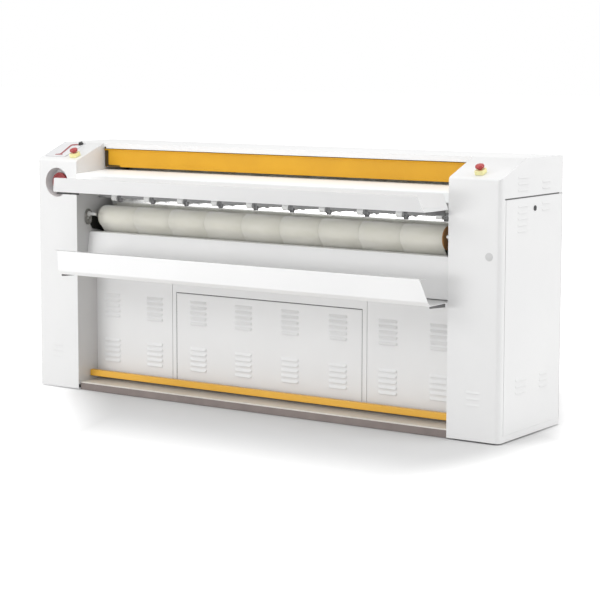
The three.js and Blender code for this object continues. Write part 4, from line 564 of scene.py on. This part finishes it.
BELT_LINE = loop_line([wheel("top_roller", 1), wheel("heated_cylinder", -1), wheel("front_roller", 1),
                       wheel("tension_roller", 1), wheel("rear_roller", 1)], math.radians(6))
BELT_SWAY, SWAYS = 0.15, 3                 # how far a belt wanders to the side, and how often round the loop
EDGE_IN, EDGE_DOWN = 0.9, 0.8              # how far its edges are worn, across it and through it


def belt(name, line, x0, x1):
    """A closed band with softly worn edges that wander a little."""
    n = len(line)
    verts = []
    phase = RNG.uniform(0, 6.28)
    half, side = BELT_THICKNESS / 2, BELT_THICKNESS / 2 - EDGE_DOWN
    section = ((x0, -side), (x0 + EDGE_IN, -half), (x1 - EDGE_IN, -half), (x1, -side),
               (x1, side), (x1 - EDGE_IN, half), (x0 + EDGE_IN, half), (x0, side))
    for i, (y, z) in enumerate(line):
        (ya, za), (yb, zb) = line[i - 1], line[(i + 1) % n]
        d = Vector((0, yb - ya, zb - za)).normalized()
        out = Vector((0, d.z, -d.y))
        sway = BELT_SWAY * math.sin(2 * math.pi * SWAYS * i / n + phase)
        verts += [(Vector((0, y, z)) + out * h + Vector((x + sway, 0, 0))) * MM for x, h in section]
    return mesh_object(name, verts, ring_faces(n, len(section)), MAT["belt_felt"], 50)


PITCH = (CYLINDER_RIGHT - CYLINDER_LEFT) / BELT_COUNT
for k in range(BELT_COUNT):
    mid = CYLINDER_LEFT + (k + 0.5) * PITCH
    left, right = mid - PITCH / 2 + BELT_GAP / 2, mid + PITCH / 2 - BELT_GAP / 2
    band = own(belt(f"felt_belt_{k + 1}", BELT_LINE, left, right), "machine", "belt_felt", f"belt_{k + 1}")

# ---------- stripper bar ----------
FINGER_COUNT, FINGER_MARGIN = 10, 52.5     # the margin is from the cylinder's end to the first finger
FINGER_PITCH = (CYLINDER_RIGHT - CYLINDER_LEFT - 2 * FINGER_MARGIN) / (FINGER_COUNT - 1)
bar_lo, bar_hi = span("stripper_bar")
STRIPPER = Vector((0, FRONT_AXIS.y, FRONT_AXIS.z + 100))
ROD_RADIUS = 9
ROD_PROFILE = [(bar_lo.x, 0), (bar_lo.x, ROD_RADIUS), (bar_hi.x, ROD_RADIUS), (bar_hi.x, 0)]
rod = lathe("stripper_rod", ROD_PROFILE, STRIPPER, X, BAR_GREY, 32)
own(rod, "stripper_bar", "finger_white", "stripper_bar")
TIP = bar_hi.y - STRIPPER.y                # from the rod's axis to the fingers' tips
FINGER_OUTLINE = [(-9, 9), (-13, 4), (-14.5, -10), (-9, -20), (TIP, -23.6), (TIP - 5, -20), (12, 6), (7, 11)]
LEVER_OUTLINE = [(-7, 10), (6, 10), (8, -4), (4, -26), (-6, -28), (-13, -12)]
FINGER_WIDTH, LEVER_WIDTH = 34, 22
FINGER_SHIFT, LEVER_SHIFT = -6, 33
fingers, levers = [], []
for k in range(FINGER_COUNT):
    x = CYLINDER_LEFT + FINGER_MARGIN + k * FINGER_PITCH
    fingers.append(prism(f"finger_{k}", FINGER_OUTLINE, (x + FINGER_SHIFT, *STRIPPER.yz), Y, Z, X,
                         FINGER_WIDTH, MAT["finger_white"], 4.5))
    levers.append(prism(f"lever_{k}", LEVER_OUTLINE, (x + LEVER_SHIFT, *STRIPPER.yz), Y, Z, X,
                        LEVER_WIDTH, LEVER_GREY, 3))
own(joined("stripper_fingers", fingers), "stripper_bar", "finger_white")
own(joined("stripper_levers", levers), "stripper_bar", "finger_white")


# ---------- hand wheel ----------
def torus(name, centre, axis, major, minor, mat, n=64, m=16):
    """A round bar bent to a ring."""
    axis = Vector(axis).normalized()
    verts = []
    for out in spokes(axis, n):
        for k in range(m):
            b = 2 * math.pi * k / m
            verts.append((centre + out * (major + minor * math.cos(b)) + axis * minor * math.sin(b)) * MM)
    return mesh_object(name, verts, ring_faces(n, m), mat, 60)


wheel_axis = axis_of("hand_wheel")
WHEEL_SUNK, RIM_RADIUS, RIM_THICKNESS = 26, 41, 7
WHEEL = Vector((wheel_axis.x, FRONT_Y + WHEEL_SUNK, wheel_axis.z))
SHAFT_END = span("hand_wheel")[1].y - WHEEL.y
SPOKE_COUNT = 3
parts = [torus("rim", WHEEL, Y, RIM_RADIUS, RIM_THICKNESS, WHEEL_RED),
         lathe("web", [(-1.5, 9), (-2.5, 30), (-1, 40), (2, 40), (2.5, 9)], WHEEL, Y, WHEEL_RED, 64),
         lathe("hub", [(-10, 0), (-10, 8), (-8, 12), (8, 13), (12, 13), (12, 0)], WHEEL, Y, WHEEL_RED)]
for k in range(SPOKE_COUNT):
    a = 2 * math.pi * k / SPOKE_COUNT
    parts.append(lathe(f"spoke_{k}", [(6, 4.6), (20, 3.6), (38, 4.2)], WHEEL, (math.sin(a), 0, math.cos(a)),
                       WHEEL_RED, 20))
parts.append(lathe("wheel_shaft", [(0, 8), (SHAFT_END, 8), (SHAFT_END, 0)], WHEEL, Y,
                   MAT["roller_steel"], 24))
own(joined("hand_wheel_skin", parts), "hand_wheel", "red_plastic", "hand_wheel")

# ---------- slope frame ----------
SLOPE_FOOT, SLOPE_RISE, SLOPE_RUN = 1129, 79, 208
SLOPE = math.atan2(SLOPE_RISE, SLOPE_RUN)
UP_SLOPE = Vector((0, math.cos(SLOPE), math.sin(SLOPE)))
OUT = Vector((0, -math.sin(SLOPE), math.cos(SLOPE)))


def on_slope(x, along, height=0.0):
    """A place on the columns' sloped tops: how far up the slope and how high over it."""
    return Vector((x, FRONT_Y, SLOPE_FOOT)) + UP_SLOPE * along + OUT * height


# ---------- emergency stops ----------
STOP_XS = {"left": -1092, "right": 1172}
STOP_ALONG, STOP_SIZE, STOP_CORNER, STOP_HEIGHT = 52, 42, 7, 19.4
HEAD_FOOT = 25.3                           # the mushroom's lower rim, over the slope
MUSHROOM = [(-1, 9), (0, 11), (1.5, 17), (4, 19.4), (8, 20), (12, 19.4), (15, 17), (17, 12), (17.8, 6),
            (18, 0)]
HEAD_PROFILE = [(8.4, 0), (8.4, 9)] + [(HEAD_FOOT + up, radius) for up, radius in MUSHROOM]
for side, x in STOP_XS.items():
    base = prism(f"estop_housing_{side}", rounded_rect(STOP_SIZE, STOP_SIZE, STOP_CORNER),
                 on_slope(x, STOP_ALONG, 0.3), X, UP_SLOPE, OUT, STOP_HEIGHT, MAT["yellow_plastic"], 2.0)
    own(base, "machine", "yellow_plastic", f"estop_base_{side}")
    head = lathe(f"estop_head_{side}", HEAD_PROFILE, on_slope(x, STOP_ALONG), OUT, MAT["red_plastic"], 64, 50)
    own(head, f"estop_button_{side}", "red_plastic", f"estop_button_{side}")

# ---------- selector knob and panel edging ----------
KNOB = (-1162, 186)                        # its X and how far up the slope it is
KNOB_PROFILE = [(4.4, 0), (4.4, 13), (8, 13), (9.4, 11), (15.6, 10), (16.2, 9), (16.2, 0)]
GRIP_OUTLINE = [(-2.4, -12), (2.4, -12), (2.4, 12), (-2.4, 12)]
knob = [lathe("knob_body", KNOB_PROFILE, on_slope(*KNOB), OUT, MAT["black_plastic"], 40),
        prism("knob_grip", GRIP_OUTLINE, on_slope(*KNOB, 8), X, UP_SLOPE, OUT, 8.2, MAT["black_plastic"],
              0.8)]
own(joined("selector_skin", knob), "selector_knob", "black_plastic", "selector_knob")
# a dark red edging runs up the panel to the knob
EDGING_OUTLINE = [(-1224, 55), (-1180, 57), (-1180, 61), (-1190, 64), (-1196, 104), (-1205, 150),
                  (-1208, 170), (-1177, 176), (-1177, 188), (-1212, 184), (-1220, 176), (-1216, 150),
                  (-1206, 104), (-1200, 66), (-1224, 59)]
edging = prism("panel_edging", EDGING_OUTLINE, on_slope(0, 0, 4.0), X, UP_SLOPE, OUT, 1.6, DARK_RED)
own(edging, "machine", "red_plastic")

# ---------- cap on the right column ----------
CAP_PLACE = (1242, FRONT_Y, 801)
cap = lathe("column_cap", [(0, 0), (0, 18), (0.5, 18), (1.2, 16), (1.4, 0)], CAP_PLACE, FORWARD, LIGHT_GREY)
own(cap, "machine", "panel_grey")

# ---------- rubber strip on the guard ----------
# it seals the guard's left end and runs on along its foot
GUARD_HINGE_Z = 1150
guard = [v.co / MM for v in NODES["finger_guard"].data.vertices if v.co.z < GUARD_HINGE_Z * MM]
GX, GY, GZ = (min(v[k] for v in guard) for k in range(3))
strip = prism("guard_end_strip", [(0, 0), (96, 0), (90, 7), (24, 8), (20, 12), (20, 84), (0, 84)],
              (GX + 0.5, GY, GZ + 1), X, Z, FORWARD, 2.2, STRIP_BLACK, 0.6)
own(strip, "finger_guard", "black_plastic")

# ---------- screws of the top cover ----------
SCREW_X, SCREW_Z = 1031, 1186
for side, sign in (("left", -1), ("right", 1)):
    screw = bolt(f"cover_screw_{side}", (sign * SCREW_X, span("top_cover")[0].y, SCREW_Z), FORWARD, 3.5, 3,
                 STRIP_BLACK)
    own(screw, "machine", "black_plastic")

# ---------- seal in the access door's gap, dark to paint the gap's shade too ---
PANEL_Y, SEAL_FOOT = -51, 86
door_lo, door_hi = span("access_door")
seal_and_shade = prism("door_seal_and_gap_shade", [(door_lo.x - 3.0, SEAL_FOOT), (door_lo.x - 3.0, door_hi.z + 5),
                           (door_hi.x + 2.6, door_hi.z + 5), (door_hi.x + 2.6, SEAL_FOOT),
                           (door_hi.x + 1.2, SEAL_FOOT), (door_hi.x + 1.2, door_hi.z + 1),
                           (door_lo.x - 1.2, door_hi.z + 1), (door_lo.x - 1.2, SEAL_FOOT)],
             (0, PANEL_Y, 0), X, Z, FORWARD, 0.8, DOOR_GAP_SHADE)
own(seal_and_shade, "machine", "foot_rubber")

# ---------- dark strips in the seams over the side doors, which paint the seams' shade ---
SEAM_OUTLINE = [(-167, 1040.8), (330, 1040.8), (330, 1046), (-167, 1046)]
for side, sign in (("left", -1), ("right", 1)):
    strip = prism(f"seam_shade_strip_{side}", SEAM_OUTLINE, (sign * SIDE_X, 0, 0), Y, Z, (sign, 0, 0), 0.8,
                  SEAM_SHADE_GREY)
    own(strip, "machine", "foot_rubber")

# ---------- gussets under the trays' ends, dark to paint the shade under them ---
# the tray's underside, and the gusset's reach, depth and inset
GUSSETS = {"upper_tray": (987.6, -160, 24, 0), "lower_tray": (587.6, -128, 16, 11)}
for tray, (under, reach, depth, inset) in GUSSETS.items():
    tray_lo, tray_hi = span(tray)
    outline = [(reach, 0), (reach, -9), (-4, -depth), (-0.6, -depth), (-0.6, 0)]
    for side, x, inward in (("left", tray_lo.x + inset, 1), ("right", tray_hi.x - inset, -1)):
        rib = prism(f"{tray}_gusset_{side}", outline, (x, FRONT_Y, under), Y, Z, (inward, 0, 0), 3, GUSSET_SHADE)
        own(rib, "machine", "cast_grey")

# ---------- skirting along the base, dark to paint the shade under the base's lip ---
SKIRT_END = 1043
skirt = prism("base_skirting_shade", [(0, 1.5), (1.4, 1.5), (1.4, 33.5), (0.8, 34), (0, 33)],
              (-SKIRT_END, FRONT_Y + 13.4, 0), Y, Z, X, 2 * SKIRT_END, SKIRT_SHADE)
own(skirt, "machine", "base_grey")

# ---------- camera, light, floor ----------
# its place in metres, its turns in radians and its lens in millimetres
CAMERA = {"at": (5.0576, -7.1625, 1.6486), "yaw": 0.601257, "pitch": 0.110696, "roll": 0.00196,
          "lens": 113.4005, "shift_y": -0.06}
cam = added("camera", bpy.data.cameras.new("camera"))
cam.location = CAMERA["at"]
cam.data.sensor_width = 36
cam.data.lens = CAMERA["lens"]
cam.data.shift_y = CAMERA["shift_y"]
turn = (Matrix.Rotation(CAMERA["yaw"], 3, "Z") @ Matrix.Rotation(math.pi / 2 - CAMERA["pitch"], 3, "X")
        @ Matrix.Rotation(CAMERA["roll"], 3, "Z"))
cam.rotation_euler = turn.to_euler()
cam.data.clip_end = 200
bpy.context.scene.camera = cam


def lamp(name, at, aim, size, power, size_y):
    """A softbox at a place, turned to what it lights."""
    data = bpy.data.lights.new(name, "AREA")
    data.shape = "RECTANGLE"
    data.size, data.size_y = size, size_y
    data.energy = power
    obj = added(name, data)
    obj.location = at
    obj.rotation_euler = (Vector(aim) - Vector(at)).to_track_quat("-Z", "Y").to_euler()


# each softbox's place, what it aims at, its width, its watts and its height
lamp("top_softbox", (0.5, -0.6, 4.8), (0, 0, 0.6), 5.0, 74, 3.0)
lamp("high_softbox", (-3.4, -5.0, 4.0), (0, 0, 0.7), 4.0, 105, 2.4)
lamp("front_softbox", (-2.4, -6.2, 0.7), (0, 0, 0.9), 4.0, 88, 1.2)
lamp("side_softbox", (6.2, 0.7, 2.4), (1.0, 0, 0.6), 3.0, 121, 3.0)


def number(tree, operation, first, second):
    """A Math node on two outputs."""
    node = tree.nodes.new("ShaderNodeMath")
    node.operation = operation
    tree.links.new(first, node.inputs[0])
    tree.links.new(second, node.inputs[1])
    return node.outputs["Value"]


def vector(tree, operation, first, second=(0, 0, 0), gives="Vector"):
    """A VectorMath node on an output and a constant."""
    node = tree.nodes.new("ShaderNodeVectorMath")
    node.operation = operation
    node.inputs[1].default_value = second
    tree.links.new(first, node.inputs[0])
    return node.outputs[gives]


def smooth_step(tree, value, start, end, most):
    """From 0 at the start to the most at the end."""
    node = tree.nodes.new("ShaderNodeMapRange")
    node.interpolation_type = "SMOOTHSTEP"
    node.inputs["From Min"].default_value = start
    node.inputs["From Max"].default_value = end
    node.inputs["To Max"].default_value = most
    tree.links.new(value, node.inputs["Value"])
    return node.outputs["Result"]


def seen_factor(tree):
    """1 for what the camera, a mirror or glass looks at, 0 for light on the object."""
    path = tree.nodes.new("ShaderNodeLightPath")
    seen = number(tree, "MAXIMUM", path.outputs["Is Camera Ray"], path.outputs["Is Glossy Ray"])
    return number(tree, "MAXIMUM", seen, path.outputs["Is Transmission Ray"])


WORLD_LIGHT = 0.66


def studio_world():
    """White to look at, and softer as a light."""
    world = bpy.data.worlds.new("studio")
    world.use_nodes = True
    tree = world.node_tree
    soft = tree.nodes["Background"]
    seen = tree.nodes.new("ShaderNodeBackground")
    for background, strength in ((soft, WORLD_LIGHT), (seen, 1.0)):
        background.inputs["Color"].default_value = (1, 1, 1, 1)
        background.inputs["Strength"].default_value = strength
    mix = tree.nodes.new("ShaderNodeMixShader")
    tree.links.new(seen_factor(tree), mix.inputs["Fac"])
    tree.links.new(soft.outputs["Background"], mix.inputs[1])
    tree.links.new(seen.outputs["Background"], mix.inputs[2])
    tree.links.new(mix.outputs["Shader"], tree.nodes["World Output"].inputs["Surface"])
    return world


FLOOR_HALF, FLOOR_DROP = 60, 0.0005        # metres
FLOOR_GREY = (0.64, 0.64, 0.64, 1)
FLOOR_GLOW = 0.9                           # what lifts the far floor to the backdrop's white
SHADOW_CORE = (1.15, 0.3, 0)               # half the footprint in metres, where the floor doesn't glow
SHADOW_FADE = (0.2, 1.5)                   # where the glow begins and is full, from the core
FADE_SHARE = (2.5, 1, 1)                   # it comes sooner past the object's ends
# and past these lines on either side, each with its direction, its distance from the origin and its width
SIDE_FADES = (((-0.7392, -0.6735, 0), 0.72, 0.55), ((0.8951, 0.4458, 0), 1.16, 0.40))


def studio_floor():
    """Pale and matt with the object's shadow near it, and white further away, where it meets the backdrop."""
    floor_mat = bpy.data.materials.new("studio_floor")
    floor_mat.use_nodes = True
    tree = floor_mat.node_tree
    paint = tree.nodes["Principled BSDF"]
    paint.inputs["Base Color"].default_value = FLOOR_GREY
    paint.inputs["Roughness"].default_value = 0.95
    paint.inputs["Specular IOR Level"].default_value = 0.0
    place = tree.nodes.new("ShaderNodeTexCoord").outputs["Object"]
    beyond = vector(tree, "SUBTRACT", vector(tree, "ABSOLUTE", place), SHADOW_CORE)
    outside = vector(tree, "MULTIPLY", vector(tree, "MAXIMUM", beyond), FADE_SHARE)
    glow = smooth_step(tree, vector(tree, "LENGTH", outside, gives="Value"), *SHADOW_FADE, FLOOR_GLOW)
    for across, start, width in SIDE_FADES:
        aside = vector(tree, "DOT_PRODUCT", place, across, gives="Value")
        glow = number(tree, "MAXIMUM", glow, smooth_step(tree, aside, start, start + width, FLOOR_GLOW))
    lift = tree.nodes.new("ShaderNodeEmission")
    lift.inputs["Color"].default_value = (1, 1, 1, 1)
    tree.links.new(number(tree, "MULTIPLY", glow, seen_factor(tree)), lift.inputs["Strength"])
    both = tree.nodes.new("ShaderNodeAddShader")
    tree.links.new(paint.outputs["BSDF"], both.inputs[0])
    tree.links.new(lift.outputs["Emission"], both.inputs[1])
    tree.links.new(both.outputs["Shader"], tree.nodes["Material Output"].inputs["Surface"])
    return floor_mat


bpy.context.scene.world = studio_world()
floor = mesh_object("floor", [(sx * FLOOR_HALF, sy * FLOOR_HALF, 0) for sx, sy in QUARTERS], [(0, 1, 2, 3)],
                    studio_floor())
floor.location.z = -FLOOR_DROP

bpy.context.scene.view_settings.view_transform = "Standard"
